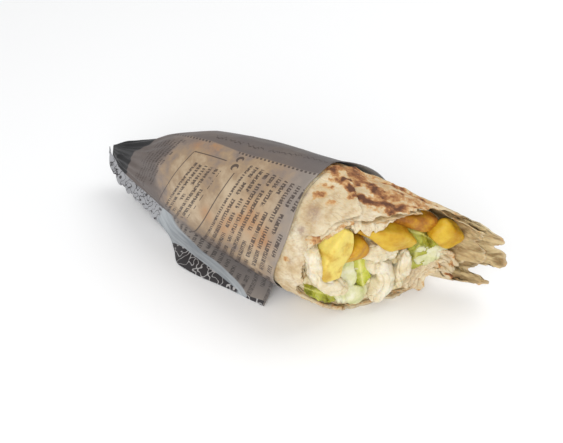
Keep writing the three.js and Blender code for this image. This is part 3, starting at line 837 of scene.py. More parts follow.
def bread_relief(x, angle):
    """A blister beside the mouth, the arch that lifts the fold off the table, soft dents and small bubbles,
    the step along the seam, and low in front sharp folds where the sheet is crumpled."""
    points = roll_point(x, angle)
    degrees = np.degrees(angle) % 360
    blister = 1.7 * hump(angle, 58, 17) * bell(x, 38, 9)
    arch = 3.5 * hump(angle, 232, 15) * smooth(x, 60, 82)
    dents = 0.6 * rough(points, 17, 41) + 0.28 * rough(points, 4.5, 43)
    bubbles = 0.7 * smooth(noise(points, 6.5, 47), 0.35, 0.8)
    sharp = 1.5 * (creased(points * (1, 0.8, 1.3), 12, 48) - 0.45)
    folds = sharp * (hump(angle, 12, 34) + 0.35 * hump(angle, 40, 40))
    seam = 1.1 * smooth(degrees - through(SEAM, x), -0.7, 0.7) * smooth(degrees, 190, 155)
    return blister - arch + (dents + bubbles + folds + seam) * smooth(x, 15, 26)


def arch_lift(x, angle):
    """How far the far wall's low edge is raised off the table: a bell along the roll and round it."""
    return 6 * bell(x, 82, 3.2) * hump(angle, 228, 9)


def flakes(points):
    """Thin flakes of crust: a step up where each of four noises rises through its level. The second value
    is near 1 along those steps."""
    height, line = 0.0, 0.0
    for size, level, seed in FLAKES:
        rise = noise(points, size, seed) + 0.3 * noise(points, 2.2, seed + 10)
        rise = rise + 0.12 * noise(points, 0.9, seed + 20)
        height = height + smooth(rise, level - 0.02, level + 0.06)
        line = np.maximum(line, bell(rise, level - 0.03, 0.045))
    return 0.32 * height, line


def ragged(angle, rags, place, seed):
    """How ragged a torn line is: noises round the roll, read at a place along it that nothing else uses."""
    ring = stack(np.cos(angle) * ROUND_BY, np.sin(angle) * ROUND_BY, place)
    return sum(height * noise(ring, size, seed + number) for number, (height, size) in enumerate(rags))


def bread_edge(angle, seed=0):
    """The torn edge: where the roll meets the slanted cut, and past it by the tongues and a ragged line."""
    edge = cut_station(angle, SKIN) + ragged(angle, EDGE_RAGS, seed * 50.0, 51)
    return edge + through(TORN_REACH, np.degrees(angle) % 360)


def spot_on(x, angle, at, turn, long, wide):
    """A bell round a station and an angle, of the given half length and half width in millimetres."""
    return bell(x, at, long) * bell(round_from(angle, turn, ROUND_BY), 0, wide)


def toast_on(x, angle, points):
    """How toasted the outside is: for each streak, a bell of the distance to its line, broken up by noise,
    over the wide fields, which are mottled by noise."""
    streaks = np.zeros_like(x)
    for start_x, start_turn, end_x, end_turn, width, strength in TOAST:
        along, across = x - start_x, round_from(angle, start_turn, ROUND_BY)
        run, climb = end_x - start_x, np.radians(end_turn - start_turn) * ROUND_BY
        t = np.clip((along * run + across * climb) / (run * run + climb * climb), 0, 1)
        away = np.hypot(along - t * run, across - t * climb) + 1.3 * noise(points, 3.0, 61)
        streaks = np.maximum(streaks, strength * bell(np.maximum(away, 0), 0, width))
    fields = sum(
        depth * spot_on(x, angle, at, turn, long, np.radians(wide) * ROUND_BY)
        for at, turn, long, wide, depth in TOAST_FIELDS
    )
    mottle = 0.85 + 0.75 * rough(points, 6, 63)
    return np.maximum(streaks * (0.8 + 0.5 * rough(points, 2.4, 62)), np.clip(fields * mottle, 0, 1))


def outside_marks(x, angle, points):
    """What the crust's colour depends on: toast, bruises and the lines along its flakes."""
    bruise = sum(spot_on(x, angle, at, turn, size, size) for at, turn, size in BRUISES)
    return {"toast": toast_on(x, angle, points), "bruise": bruise, "line": flakes(points)[1]}


def make_shell():
    """The main shell: outside from the back to the torn edge, and inside one wall in, thin at the edge."""
    angle = around(400, -np.pi / 2)
    share = np.concatenate([np.linspace(0, 0.14, 8)[:-1], np.linspace(0.14, 1, 112)])[:, None]
    edge = bread_edge(angle)
    x = BREAD_BACK_X + (edge - BREAD_BACK_X) * share
    angle = np.broadcast_to(angle, x.shape)
    flat = roll_point(x, angle, SKIN)
    crust = flakes(flat)[0] * smooth(x, sleeve_edge(angle), sleeve_edge(angle) + 4)
    crumple = 1.1 * rough(flat, 8, 71) + 1.6 * (creased(flat * (0.35, 1, 1), 6, 72) - 0.4)
    crust = crust + smooth(x, 68, 92) * np.maximum(crumple, -0.4)
    grid = roll_point(x, angle, SKIN + bread_relief(x, angle) + crust, bread_floor(x))
    grid[..., 2] = np.maximum(grid[..., 2], 0.02) + arch_lift(x, angle)
    stacked = 1.1 * hump(angle, 290, 55)
    thickness = BREAD_EDGE_WALL + stacked + (BREAD_BODY_WALL - stacked) * smooth(edge - x, 2, 22)
    points, faces = sheet(grid, thickness, closed=True)
    points[:, 2] = np.maximum(points[:, 2], 0.0)
    rim = smooth(edge - x, 2.2, 0.2)
    outer = {**outside_marks(x, angle, flat), "rim": rim, "inside": 0.0, "olive": smooth(x, 84, 98)}
    brown = smooth(edge - x, 1.6, 0.1) * (0.2 + 0.5 * noise(flat, 3, 73))
    brown = brown + 0.6 * spot_on(x, angle, *BROWN_SPOT)
    inner = {**outer, "toast": brown, "bruise": 0.0, "inside": 1.0}
    return points, faces, face_values(grid, outer, inner)


def make_layer(span, depth, edge, reach, thickness, seed, curl, brown=0.0, inside=1.0):
    """A thin layer of the bread over an arc of angles, from its ragged edge back by its reach: in from the
    roll by its depth, and wavy by noise that grows towards the edge, where it curls and is browned."""
    turn = np.radians(np.linspace(*span, 184))[None, :]
    share = np.linspace(0, 1, 38)[:, None]
    back = reach * (1 - share)
    x = edge(turn) - back
    turn = np.broadcast_to(turn, x.shape)
    flat = roll_point(x, turn)
    taper = smooth(np.degrees(turn), span[0], span[0] + 6) * smooth(np.degrees(turn), span[1], span[1] - 6)
    x = x - (1 - taper) * 4.0 * share
    ripple = (rough(flat, 7, seed) + 0.6 * noise(flat, 2.6, seed + 9)) * smooth(share, 0.2, 1.0)
    grow = SKIN + bread_relief(x, turn) - depth + ripple * 0.8 + curl * smooth(share, 0.55, 1.0)
    bare = smooth(x, sleeve_edge(turn) - 1, sleeve_edge(turn) + 5)
    grow = np.minimum(grow, SKIN - 1.0 + 4.0 * bare) + flakes(flat)[0] * bare * (1 - inside)
    grid = roll_point(x, turn, grow, bread_floor(x) + max(depth, 0))
    points, faces = sheet(grid, thickness * (1 - 0.5 * smooth(share, 0.8, 1.0)))
    marks = outside_marks(x, turn, flat)
    rim_brown = brown * smooth(back, 1.8, 0.1) * (0.75 + 0.7 * noise(grid, 3.5, seed + 4))
    marks["toast"] = np.maximum(marks["toast"] * (1 - inside), rim_brown)
    marks["bruise"] = marks["bruise"] * (1 - inside)
    shades = {"rim": smooth(back, 2.0, 0.2), "inside": inside, "olive": smooth(x, 88, 100)}
    return points, faces, face_values(grid, {**marks, **shades})


# The pale lobe over the top: the angles that it covers, how far out it lies, and its edge by angle.
LOBE_SPAN = (28, 112)
LOBE_OUT = 0.9
LOBE_EDGE = [
    (26, 18), (34, 25), (39, 31), (42, 35), (47, 38.5), (57, 41.5), (67, 46.5), (75, 50.5), (80, 48),
    (88, 43), (96, 38), (106, 30), (114, 22),
]
# Layers beneath the lips all round, and torn layers on the far wall: the angles that each covers, its
# depth, how far its edge lies back from the shell's and that edge's seed, its reach, thickness and seed,
# curl and browning.
LAYERS = [
    ((20, 118), 1.3, (-0.4, 3), 22, 0.9, 111, -0.6, 0.2),
    ((40, 112), 2.6, (1.2, 13), 22, 0.9, 115, -0.9, 0.3),
    ((300, 424), 1.5, (0.3, 4), 20, 1.0, 121, -0.4, 0.25),
    ((238, 382), 1.9, (0.4, 5), 20, 1.2, 131, -0.5, 0.25),
    ((242, 384), 3.4, (1.2, 6), 18, 1.3, 141, -0.4, 0.2),
    ((132, 206), 1.5, (6.0, 7), 34, 0.8, 151, -0.8, 0.3),
]


def lobe_edge(turn):
    """The pale lobe's torn edge: its station by angle, made ragged."""
    return through(LOBE_EDGE, np.degrees(turn)) + ragged(turn, LOBE_RAGS, 81 * 37.0, 81)


def inner_edge(back, seed, turn):
    """The torn edge of a layer inside, some way back from the shell's, and further back behind."""
    return bread_edge(turn, seed) - back - 3.5 * hump(turn, 180, 40)


def make_layers():
    """The layers that show: the lobe, and those inside."""
    lobe = make_layer(LOBE_SPAN, -LOBE_OUT, lobe_edge, 30, 0.9, 101, curl=0.7, inside=0.0)
    inside = [
        make_layer(span, depth, partial(inner_edge, *edge), *rest)
        for span, depth, edge, *rest in LAYERS
    ]
    return join([lobe, *inside])


# Layers that hang from the top lip in front of the filling: upper line and torn lower line as across and up
# in the plane of the cut, how far they belly out of it, how browned they are, and how pale, which is partly
# their pale crumb and partly painted light where they face down into shade.
HANGING = [
    {
        "upper": [(-20.5, 63), (-14, 63), (-8, 62.5), (0, 60.5), (3, 59)],
        "lower": [
            (-20.5, 60), (-19.4, 58.9), (-18.3, 55.6), (-16.4, 58), (-13.8, 55), (-10.8, 53), (-9.9, 55.6),
            (-7, 54.2), (-5.4, 55), (-2.1, 55.2), (-0.5, 58), (3, 58.6),
        ],
        "belly": 5.0, "brown": 0.0, "pale": 0.8,
    },
    {
        "upper": [(-43, 56), (-40, 59), (-37, 61), (-29, 64), (-19, 64)],
        "lower": [
            (-43, 54), (-40, 54.5), (-37.5, 55.4), (-34.5, 56.8), (-31.5, 55.4), (-29, 56), (-27, 59),
            (-23, 62.5), (-19, 61.5),
        ],
        "belly": 4.2, "brown": 0.42, "pale": 0.1,
    },
]
HANGING_THICKNESS = 0.9
HANGING_SEED = 171


def make_hanging(layer, seed):
    """A torn layer that hangs from the lip: rows run from its upper line down to its ragged lower one,
    bellied out of the cut by a quarter wave."""
    upper, lower = layer["upper"], layer["lower"]
    s = np.linspace(upper[0][0], upper[-1][0], 150)[None, :]
    share = np.linspace(0, 1, 40)[:, None]
    low = through(lower, s) + 0.7 * noise(stack(s, 0, 0), 1.3, seed)
    z = through(upper, s) * (1 - share) + low * share
    flat = stack(s, z, 0)
    out = -3.5 + layer["belly"] * np.sin(0.5 * np.pi * np.minimum(share * 1.3, 1))
    out = out + (0.8 * rough(flat, 4, seed + 1) + 0.5 * (creased(flat, 5, seed + 2) - 0.5)) * share
    grid = cut_point(s, z, out)
    points, faces = sheet(grid, HANGING_THICKNESS)
    values = {
        **PLAIN_BREAD,
        "toast": layer["brown"] * (0.7 + 0.8 * rough(grid, 5, seed + 3)),
        "line": flakes(grid)[1],
        # pale at the torn lower edge, and over a whole layer by its pale value: partly pale crumb, partly
        # painted light where it faces down into shade
        "rim": np.maximum(smooth(share, 0.8, 1), 2 * layer["pale"]),
    }
    return points, faces, face_values(grid, values)


# The crumpled fold over the arch, low behind the mouth: the arch's line and the fold's outer line, as a
# place along the line, and across, up and out of the plane of the cut.
FOLD_INNER = [
    (0, 21.2, 3.2, 0.7), (0.2, 24.2, 7.7, 0.7), (0.38, 26.7, 12.2, 0.7), (0.52, 29.7, 15.9, 1.4),
    (0.68, 33.2, 14.8, 3.5), (0.82, 36.4, 11.7, 5.7), (1, 40, 9.4, 6.7),
]
FOLD_OUTER = [
    (0, 12.5, 5.5, 0), (0.2, 15.5, 14.5, 0), (0.38, 22, 21.8, 0), (0.52, 28.7, 25.4, 0.7),
    (0.68, 34.5, 25.8, 1.4), (0.82, 39.9, 23.6, 2.8), (1, 43.4, 16.6, 5),
]
FOLD_LAYERS = 5
FOLD_DEPTH = 18.0  # how far the layers run back into the roll
FOLD_FLOOR = 1.1


def between_lines(share, t, axis):
    """One coordinate of the line a share of the way from the fold's inner line to its outer one."""
    inner, outer = ([(point[0], point[axis]) for point in line] for line in (FOLD_INNER, FOLD_OUTER))
    return through(inner, t) * (1 - share) + through(outer, t) * share


def make_fold_layer(number):
    """A layer of the fold, a share of the way between its two lines: a thick wavy sheet with a round torn
    front, which runs back into the roll, thins out and draws in from its wall."""
    t = np.linspace(0, 1, 190)[None, :]
    back = (np.linspace(0, 1, 44) ** 1.5)[:, None]
    s, z, out = (between_lines(number / (FOLD_LAYERS - 1), t, axis) for axis in (1, 2, 3))
    line = stack(s, z, 9.0 * number)
    wave = 1.3 * noise(line, 6, 181 + number) + 0.6 * noise(line, 2.2, 191 + number)
    front = 1.0 - 0.7 * number + 1.8 * noise(line, 5, 201 + number) + 0.7 * noise(line, 1.6, 211 + number)
    depth = (front + FOLD_DEPTH) * back
    settle = 1 - 0.7 * back
    grid = cut_point(s + 0.6 * wave * settle, np.maximum(z + wave * settle + 0.6 * back, FOLD_FLOOR), out)
    grid = grid + stack(front - depth, -5 * back * smooth(t, 0.4, 1), 0)
    grid[..., 2] += 0.5 * noise(grid, 3, 222) * settle
    bluff = np.sqrt(1 - np.clip(1 - depth / 1.3, 0, 1) ** 2)
    points, faces = sheet(grid, (2.1 - 1.2 * back) * (0.15 + 0.85 * bluff))
    crest = smooth(noise(stack(s * 2, z * 2, 5.0 * number), 9, 224), 0, 0.5)
    brown = smooth(depth, 2.4, 0.2) * (0.5 * crest + 0.3 * noise(grid, 3, 221))
    values = {
        **PLAIN_BREAD,
        "toast": brown + 0.04 + 0.16 * noise(grid, 4, 223),
        "line": flakes(grid)[1],
        # paler towards each layer's torn front: partly pale crumb, partly painted light that lifts the
        # shaded fold
        "rim": 1.1 * smooth(depth, 7, 0),
        "olive": 0.3,
    }
    return points, faces, face_values(grid, values)


def baked_bread():
    """Flatbread: cream with tan mottling and flour, toasted to orange and dark brown where its toast value
    is high, browned along its flakes, pale at a torn rim and where the rim value carries painted light on
    the shaded fold and hanging layers, and tan and moist inside."""
    finish = Finish("baked_flatbread", roughness=0.75, specular=0.35, depth=0.12, radius=(2.0, 1.2, 0.6))
    broad = finish.place.noise(85.0, 5.0, 0.62)
    grain = finish.place.noise(420.0, 4.0, 0.65)
    squeezed = finish.add("VectorMath", 0, {0: finish.place, 1: (0.3, 1.0, 1.0)}, operation="MULTIPLY")
    streaks = squeezed.noise(260.0, 3.0, 0.6).rise(0.35, 0.65)
    tone = broad.bands(
        (0.32, (184, 156, 116)), (0.44, (204, 183, 146)), (0.56, (216, 200, 168)), (0.7, (226, 216, 192)),
    )
    tone = grain.rise(0.58, 0.72, 0.0, 0.5).blend(tone, (180, 148, 108))
    tone = finish.value("inside").blend(tone, streaks.blend((136, 107, 64), (198, 175, 128)))
    tone = (finish.value("olive") * 0.85).blend(tone, streaks.blend((130, 108, 70), (208, 187, 142)))
    # rim: pale torn crumb, and painted light where the fold and hanging layers carry it
    tone = (finish.value("rim") * 0.45).blend(tone, (228, 214, 184))
    bruise = finish.value("bruise") * grain.rise(0.36, 0.6, 0.25, 0.9)
    tone = bruise.blend(tone, (158, 132, 118))
    tone = (finish.value("line") * 0.4).blend(tone, (170, 132, 90))
    brown = finish.value("toast") + grain.rise(0.3, 0.7, -0.2, 0.2)
    shade = brown.bands(
        (0.2, (212, 180, 130)), (0.4, (196, 150, 98)), (0.65, (156, 104, 64)), (0.95, (98, 62, 42)),
    )
    tone = brown.rise(0.1, 0.42).blend(tone, shade)
    return finish.done(tone, grain + broad * 1.5, 0.45)


bread_finish = baked_bread()
hanging = join([make_hanging(layer, HANGING_SEED + 10 * number) for number, layer in enumerate(HANGING)])
fold = join([make_fold_layer(number) for number in range(FOLD_LAYERS)])
make_piece("bread_shell", make_shell(), bread_finish, "bread", "flatbread")
make_piece("bread_layers", make_layers(), bread_finish, "bread", "flatbread")
make_piece("bread_hanging_layers", hanging, bread_finish, "bread", "flatbread")
make_piece("bread_crumpled_fold", fold, bread_finish, "bread", "flatbread")

# ---------------------------------------------------------------- filling

# Each piece lies along an arc in the plane of the cut: its middle as across, up and out, its length, width
# and depth, the direction of its length in degrees, and how far the arc turns. Blunt and square shape its
# ends and its section, roll turns the section about the length, and widths are by place along it.
POTATO = [
    {
        "at": (-29.8, 46, 1), "size": (31, 14.6, 11), "turn": 70, "arc": -40, "blunt": 7, "square": 0.36,
        "roll": 10, "widths": [(-1, 0.95), (-0.3, 0.95), (0.3, 1.05), (0.7, 0.85), (1, 0.5)],
        "brown": 0.08, "pale": 0.95,
    },
    {
        "at": (-18.8, 43, -1.6), "size": (17, 10.5, 12), "turn": 30, "blunt": 4, "square": 0.45, "roll": 14,
        "widths": [(-1, 0.5), (0, 1), (1, 0.95)], "brown": 0.42,
    },
    {
        "at": (1, 47.2, -1), "size": (38, 14.3, 12), "turn": -29, "arc": -20, "blunt": 5, "square": 0.4,
        "roll": 14, "widths": [(-1, 0.15), (-0.5, 0.5), (0, 0.98), (0.25, 1), (0.7, 0.64), (1, 0.42)],
        "brown": 0.2, "pale": 0.1,
    },
    {
        "at": (16.8, 50.8, -4), "size": (28, 9.5, 11), "turn": -26, "blunt": 3.6, "square": 0.6, "roll": 10,
        "widths": [(-1, 0.8), (0, 1), (1, 0.95)], "brown": 0.9,
    },
    {
        "at": (34, 39.2, 1), "size": (20, 14, 9.5), "turn": -46, "blunt": 3.4, "square": 0.55, "roll": 8,
        "widths": [(-1, 1), (0, 1), (1, 0.9)], "brown": 0.15, "pale": 0.05,
    },
]
CHICKEN = [
    {
        "at": (-36.6, 33.4, 0.5), "size": (40, 10.5, 12), "turn": -61, "arc": 74, "blunt": 4, "square": 0.8,
        "widths": [(-1, 0.8), (0, 1), (1, 0.95)],
    },
    {
        "at": (0.5, 20.3, 0), "size": (34, 11.5, 12), "turn": -84, "arc": -155, "blunt": 4.5, "square": 0.8,
        "widths": [(-1, 0.8), (0, 0.95), (0.6, 1), (1, 0.8)],
    },
    {
        "at": (-2.8, 36.6, -1.6), "size": (21, 11, 10), "turn": -20, "blunt": 5, "square": 0.7,
        "widths": [(-1, 0.8), (0, 1), (1, 0.75)],
    },
    {
        "at": (9.8, 20.8, -0.5), "size": (27, 7.5, 11), "turn": 84, "arc": -18, "blunt": 2.4, "square": 0.7,
        "widths": [(-1, 0.6), (0, 1), (1, 1.1)],
    },
]
CABBAGE = [
    {
        "at": (-21.4, 28, -1), "size": (19, 10, 4), "turn": 97, "blunt": 7, "square": 0.4,
        "widths": [(-1, 1), (1, 0.8)],
    },
    {
        "at": (-18.5, 12.8, -0.5), "size": (19, 12, 4.5), "turn": -24, "blunt": 4, "square": 0.6,
        "widths": [(-1, 0.8), (1, 1)],
    },
    {
        "at": (28, 24.5, -2), "size": (22, 14, 4.5), "turn": -22, "blunt": 2.6, "square": 0.6,
        "widths": [(-1, 1), (1, 1)],
    },
]
LETTUCE = [
    {"at": (20.5, 41, -2), "size": (29, 11), "turn": -36, "roll": 44, "ruffle": 1.1},
    {"at": (18.6, 27, -1.5), "size": (18, 11), "turn": 76, "roll": 15, "ruffle": 0.9},
    {"at": (-12.6, 27, -1.6), "size": (25, 9), "turn": 100, "roll": 12, "ruffle": 1},
    {"at": (-35, 18.8, -1), "size": (23, 7.5), "turn": -36, "roll": 36, "ruffle": 0.8},
]
LEAF_THICKNESS = 0.45
STRAIGHT = 0.01  # the arc, in degrees, of a piece that is given none


def along_arc(piece, long, t):
    """The middle and the sideways direction at t, from -1 to 1, of an arc laid in the plane of the cut."""
    curl = np.radians(piece.get("arc", STRAIGHT))
    turn = np.radians(piece["turn"])
    heading = turn + curl * t / 2
    radius = long / curl
    s, z, out = piece["at"]
    s = s + radius * (np.sin(heading) - np.sin(turn))
    z = z - radius * (np.cos(heading) - np.cos(turn))
    return cut_point(s, z, out), -np.sin(heading)[..., None] * ACROSS + np.cos(heading)[..., None] * UP


def morsel(relief, piece, seed):
    """A plump piece: a rounded box section, which is a direction over its power norm, carried along an arc
    and closed at its ends by the blunt power, with the relief along its radius."""
    long, wide, deep = piece["size"]
    rows = 80
    t = -np.cos(np.pi * (np.arange(rows) + 0.3) / (rows - 0.4))[:, None]
    turn = around(110)
    full = (1 - np.abs(t) ** piece["blunt"]) ** (1 / piece["blunt"]) * through(piece["widths"], t)
    centre, side = along_arc(piece, long, t)
    power = 2 / piece["square"]
    reach = (np.abs(np.cos(turn)) ** power + np.abs(np.sin(turn)) ** power) ** (-1 / power)
    phase = piece["at"][0] + piece["at"][1]
    lump = 1 + 0.05 * np.sin(3 * turn + phase + 2 * t) + 0.04 * np.sin(2 * turn - 4 * t + phase)
    roll = np.radians(piece.get("roll", 0))
    v = wide / 2 * full * lump * reach * np.cos(turn)
    w = deep / 2 * full * lump * reach * np.sin(turn)
    v, w = v * np.cos(roll) - w * np.sin(roll), v * np.sin(roll) + w * np.cos(roll)
    rings = centre + v[..., None] * side + w[..., None] * OUT
    rings = rings + unit(rings - centre) * (relief(rings, seed) * np.minimum(full * 2, 1))[..., None]
    corner = smooth(reach, 1.12, 1.3)
    brown, pale = piece.get("brown", 0), piece.get("pale", 0)
    tips = np.abs(t) ** 5
    values = loft_values(rings, corner=(corner, 0), tips=(tips, 1), brown=(brown, brown), pale=(pale, pale))
    return *loft(rings), values


def fried_relief(points, seed):
    """Nearly flat cut faces with a few dents and a fine crust."""
    return 0.3 * rough(points, 7, seed) + 0.1 * rough(points, 1.5, seed + 5)


def meat_relief(points, seed):
    """Torn meat: lumps, sharp grooves where a noise crosses nought, and fibres."""
    groove = smooth(creased(points, 9, seed + 1), 0.66, 0.98)
    groove = groove + 0.6 * smooth(creased(points, 4.5, seed + 2), 0.7, 0.98)
    return 1.3 * rough(points, 7, seed) - 1.3 * groove + 0.28 * rough(points, 1.7, seed + 5)


def cabbage_relief(points, seed):
    """A folded pale leaf: soft folds and ribs."""
    folds = np.sin(creased(points, 12, seed) * 14)
    return 0.7 * rough(points, 6, seed) + 0.45 * folds + 0.12 * rough(points, 1.6, seed + 5)


def leaf(piece, seed):
    """A ruffled leaf: a sheet along an arc, turned about its length, narrower and wavier towards its ends,
    with a rib down its middle and veins off it."""
    long, wide = piece["size"]
    t = np.linspace(-1, 1, 90)[:, None]
    v = np.linspace(-1, 1, 50)[None, :]
    centre, side = along_arc(piece, long, t)
    roll = np.radians(piece["roll"])
    across = side * np.cos(roll) - OUT * np.sin(roll)
    face = side * np.sin(roll) + OUT * np.cos(roll)
    phase = piece["at"][0]
    torn = 1 + 0.16 * noise(stack(t * 9, 0, seed), 1.0, seed)
    torn = torn + 0.1 * noise(stack(t * 26, 0, seed), 1.0, seed)
    half = wide / 2 * (1 - 0.55 * t**4) * torn
    ruffle = piece["ruffle"] * (np.sin(5 * t + phase) * v + 0.7 * np.cos(7 * t + 2 * v))
    flat = stack(t * long / 2, v * wide / 2, seed)
    ruffle = ruffle + 1.5 * rough(flat, 4.5, seed) * (0.3 + 0.7 * np.abs(v))
    vein = np.abs(np.sin(9 * t - 4 * np.abs(v)))
    ruffle = ruffle + 0.3 * smooth(0.12 - np.abs(v), 0, 0.1) - 0.18 * smooth(0.2 - vein, 0, 0.2)
    grid = centre + (half * v)[..., None] * across + ruffle[..., None] * face
    points, faces = sheet(grid, LEAF_THICKNESS)
    rib = np.maximum(smooth(0.3 - np.abs(v), 0, 0.3), 0.5 * smooth(0.2 - vein, 0, 0.2))
    return points, faces, face_values(grid, {"rib": rib})


def fried_potato():
    """Fried potato: yellow, paler where its pale value is high, and browned along its corners, at its tips
    and in patches by its brown value, with a soft oily sheen."""
    finish = Finish("fried_potato", roughness=0.42, specular=0.35, depth=0.25, radius=(3.0, 1.6, 0.4))
    broad = finish.place.noise(130.0, 3.0, 0.55)
    grain = finish.place.noise(600.0, 3.0, 0.6)
    tone = broad.bands((0.32, (184, 134, 12)), (0.5, (200, 156, 22)), (0.68, (214, 178, 48)))
    soft = finish.value("pale") * broad.rise(0.34, 0.56, 0.3, 1.0)
    tone = soft.blend(tone, (230, 210, 110))
    edges = most(finish.value("corner"), finish.value("tips"))
    patch = edges * 0.5 + broad.rise(0.6, 0.35, 0.0, 0.6)
    brown = finish.value("brown") * (patch * 0.5 + 0.4) + patch * 0.06
    brown = brown * grain.rise(0.25, 0.6, 0.75, 1.2)
    shade = brown.bands((0.2, (196, 142, 34)), (0.6, (170, 110, 26)), (0.95, (136, 82, 24)))
    return finish.done(brown.rise(0.05, 0.5).blend(tone, shade), grain, 0.2)


def cooked_chicken():
    """Cooked chicken in white sauce: cream, with tan fibres by a fine noise that also gives its bump, and a
    wet sheen.
    """
    finish = Finish("cooked_chicken", roughness=0.45, specular=0.45, depth=0.25, radius=(3.0, 1.8, 1.0))
    broad = finish.place.noise(130.0, 4.0, 0.6)
    fibre = finish.place.noise(480.0, 4.0, 0.65)
    tone = broad.bands((0.28, (206, 184, 138)), (0.45, (222, 208, 174)), (0.62, (232, 224, 202)))
    tone = fibre.rise(0.6, 0.75, 0.0, 0.45).blend(tone, (202, 172, 118))
    return finish.done(tone, fibre, 0.4)


def lettuce_leaf(name, low, high, ribbed):
    """Leaf: from one green to another by noise, and pale along its rib and veins."""
    finish = Finish(name, roughness=0.38, specular=0.5, depth=0.35, radius=(1.5, 2.2, 0.5))
    tone = finish.place.noise(160.0, 3.0, 0.55).rise(0.36, 0.62).blend(low, high)
    tone = (finish.value("rib") * 0.75).blend(tone, ribbed)
    return finish.done(tone, finish.place.noise(800.0, 3.0, 0.6), 0.2)


def cabbage_piece():
    """Pale thick leaf: greenish white, faintly ribbed and half clear."""
    finish = Finish("pale_cabbage", roughness=0.35, specular=0.5, depth=0.4, radius=(2.5, 2.8, 1.8))
    broad = finish.place.noise(150.0, 3.0, 0.5)
    tone = broad.bands((0.3, (190, 194, 128)), (0.5, (216, 214, 168)), (0.68, (228, 226, 200)))
    return finish.done(tone, finish.place.noise(700.0, 2.0, 0.6), 0.25)


bright = lettuce_leaf("bright_lettuce", (176, 180, 44), (206, 210, 92), (232, 230, 150))
deep = lettuce_leaf("deep_lettuce", (128, 126, 20), (176, 176, 60), (214, 212, 120))

# Each kind's pieces stand for the solids with their numbers, and take a seed and a finish each.
for shown, kind, table, make, seed, finishes in (
    ("potato_wedge", "potato", POTATO, partial(morsel, fried_relief), 300, repeat(fried_potato())),
    ("chicken_piece", "chicken", CHICKEN, partial(morsel, meat_relief), 320, repeat(cooked_chicken())),
    ("lettuce_leaf", "lettuce", LETTUCE, leaf, 340, (deep, deep, bright, deep)),
    ("cabbage_piece", "cabbage", CABBAGE, partial(morsel, cabbage_relief), 360, repeat(cabbage_piece())),
):
    for number, (row, finish) in enumerate(zip(table, finishes), 1):
        make_piece(f"{shown}_{number}", make(row, seed + number), finish, kind, f"{kind}_{number}")

CORE_BACK_X = -50.0
CORE_IN = 4.0  # the filling's outside, in from the sleeve's
CORE_FLOOR = 5.0


def make_core():
    """The chopped middle: a lumpy plug inside the bread's wall, whose front lies some way behind the cut,
    with noise of two sizes for the chopped bits."""
    turn = around(260)
    share = np.linspace(0, 1, 90)[:, None]
    front = cut_station(turn, -CORE_IN - 1) - 4.8 - 3 * np.sin(turn)
    side = roll_point(CORE_BACK_X + (front - CORE_BACK_X) * share, turn, -CORE_IN, CORE_FLOOR)
    rim = side[-1]
    middle = rim.mean(axis=0)
    outward = np.linspace(1, 0, 46)[1:-1, None]
    face = middle + (rim - middle) * outward[..., None]
    lumps = 2.2 * rough(face, 7, 381) + 1.0 * rough(face, 2.4, 383)
    face = face + OUT * (lumps * (1 - outward**6))[..., None]
    return *loft(np.concatenate([side, face])), {}


def chopped_filling():
    """Chopped meat and cabbage in sauce: brown, cream and pale green by noise, with greener bits."""
    finish = Finish("chopped_filling", roughness=0.5, specular=0.4, depth=0.2, radius=(2.5, 1.6, 0.8))
    broad = finish.place.noise(170.0, 3.0, 0.6)
    tone = broad.bands(
        (0.3, (176, 148, 98)), (0.42, (212, 192, 146)), (0.55, (230, 218, 184)), (0.7, (220, 214, 158)),
    )
    green = finish.place.noise(260.0).rise(0.6, 0.7, 0.0, 0.6)
    return finish.done(green.blend(tone, (170, 168, 70)), broad, 0.8)


make_piece("filling_middle", make_core(), chopped_filling(), "filling", "filling_core")

# ---------------------------------------------------------------- stage, light and camera

# The floor and the lamps are in metres, and the camera's place, lens and sensor in millimetres.
FLOOR_HALF = 1.6
FLOOR_COLOUR = (0.965, 0.97, 0.975, 1.0)
STUDIO_LIGHT = 0.67
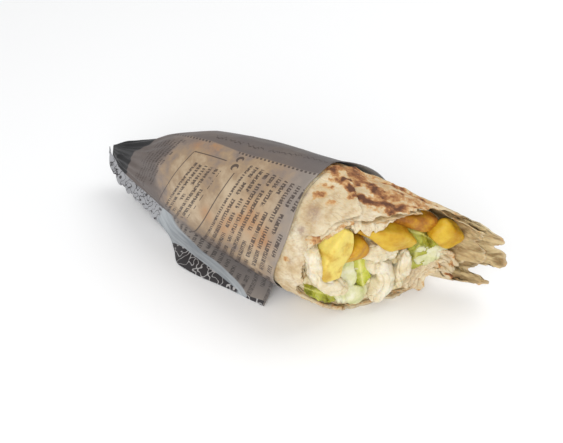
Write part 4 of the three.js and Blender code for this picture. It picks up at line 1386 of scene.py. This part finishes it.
# Square soft lamps: name, place, the point that they face, size and power.
LAMPS = [
    ("key", (0.25, 0.45, 0.9), (0.0, 0.0, 0.03), 0.6, 3.0),
    ("fill", (0.3, -0.95, 0.6), (0.02, 0.0, 0.03), 0.9, 6.6),
]
CAMERA_PLACE = (194.09, -350.43, 379.94)
CAMERA_RIGHT = (0.87462, 0.48481, 0.0)
CAMERA_UP = (-0.31806, 0.57380, 0.75471)
CAMERA_BACK = (0.36589, -0.66008, 0.65606)
LENS = 63.18
SENSOR_WIDTH = 36.0


def stand(name, data, right, up, back, place):
    """An object that holds a lamp or a camera, from its three axes and its place."""
    holder = bpy.data.objects.new(name, data)
    turned = np.eye(4)
    turned[:3] = np.stack([right, up, back, place], axis=1)
    holder.matrix_world = Matrix(turned.tolist())
    bpy.context.collection.objects.link(holder)
    return holder


def make_floor():
    """A square of pale floor."""
    mesh = bpy.data.meshes.new("floor")
    corners = [(x * FLOOR_HALF, y * FLOOR_HALF, 0.0) for x, y in ((-1, -1), (1, -1), (1, 1), (-1, 1))]
    mesh.from_pydata(corners, [], [(0, 1, 2, 3)])
    finish = Finish("pale_floor", roughness=0.6, specular=0.2)
    finish.shader.inputs["Base Color"].default_value = FLOOR_COLOUR
    mesh.materials.append(finish.material)
    floor = bpy.data.objects.new("floor", mesh)
    bpy.context.collection.objects.link(floor)


def make_lamp(name, place, aim, size, power):
    """A square soft lamp at a place, turned to face a point."""
    lamp = bpy.data.lights.new(name, "AREA")
    lamp.size = size
    lamp.energy = power
    back = unit(np.array(place) - np.array(aim))
    right = unit(np.cross(UP, back))
    stand(name, lamp, right, np.cross(back, right), back, place)


def make_camera():
    """The camera, from its place and axes."""
    camera = bpy.data.cameras.new("camera")
    camera.sensor_width = SENSOR_WIDTH
    camera.lens = LENS
    place = np.array(CAMERA_PLACE) * MM
    bpy.context.scene.camera = stand("camera", camera, CAMERA_RIGHT, CAMERA_UP, CAMERA_BACK, place)


world = bpy.data.worlds.new("studio")
world.use_nodes = True
world.node_tree.nodes["Background"].inputs["Color"].default_value = (1.0, 1.0, 1.0, 1.0)
world.node_tree.nodes["Background"].inputs["Strength"].default_value = STUDIO_LIGHT
bpy.context.scene.world = world
bpy.context.scene.view_settings.view_transform = "Standard"

make_floor()
for lamp_row in LAMPS:
    make_lamp(*lamp_row)
make_camera()
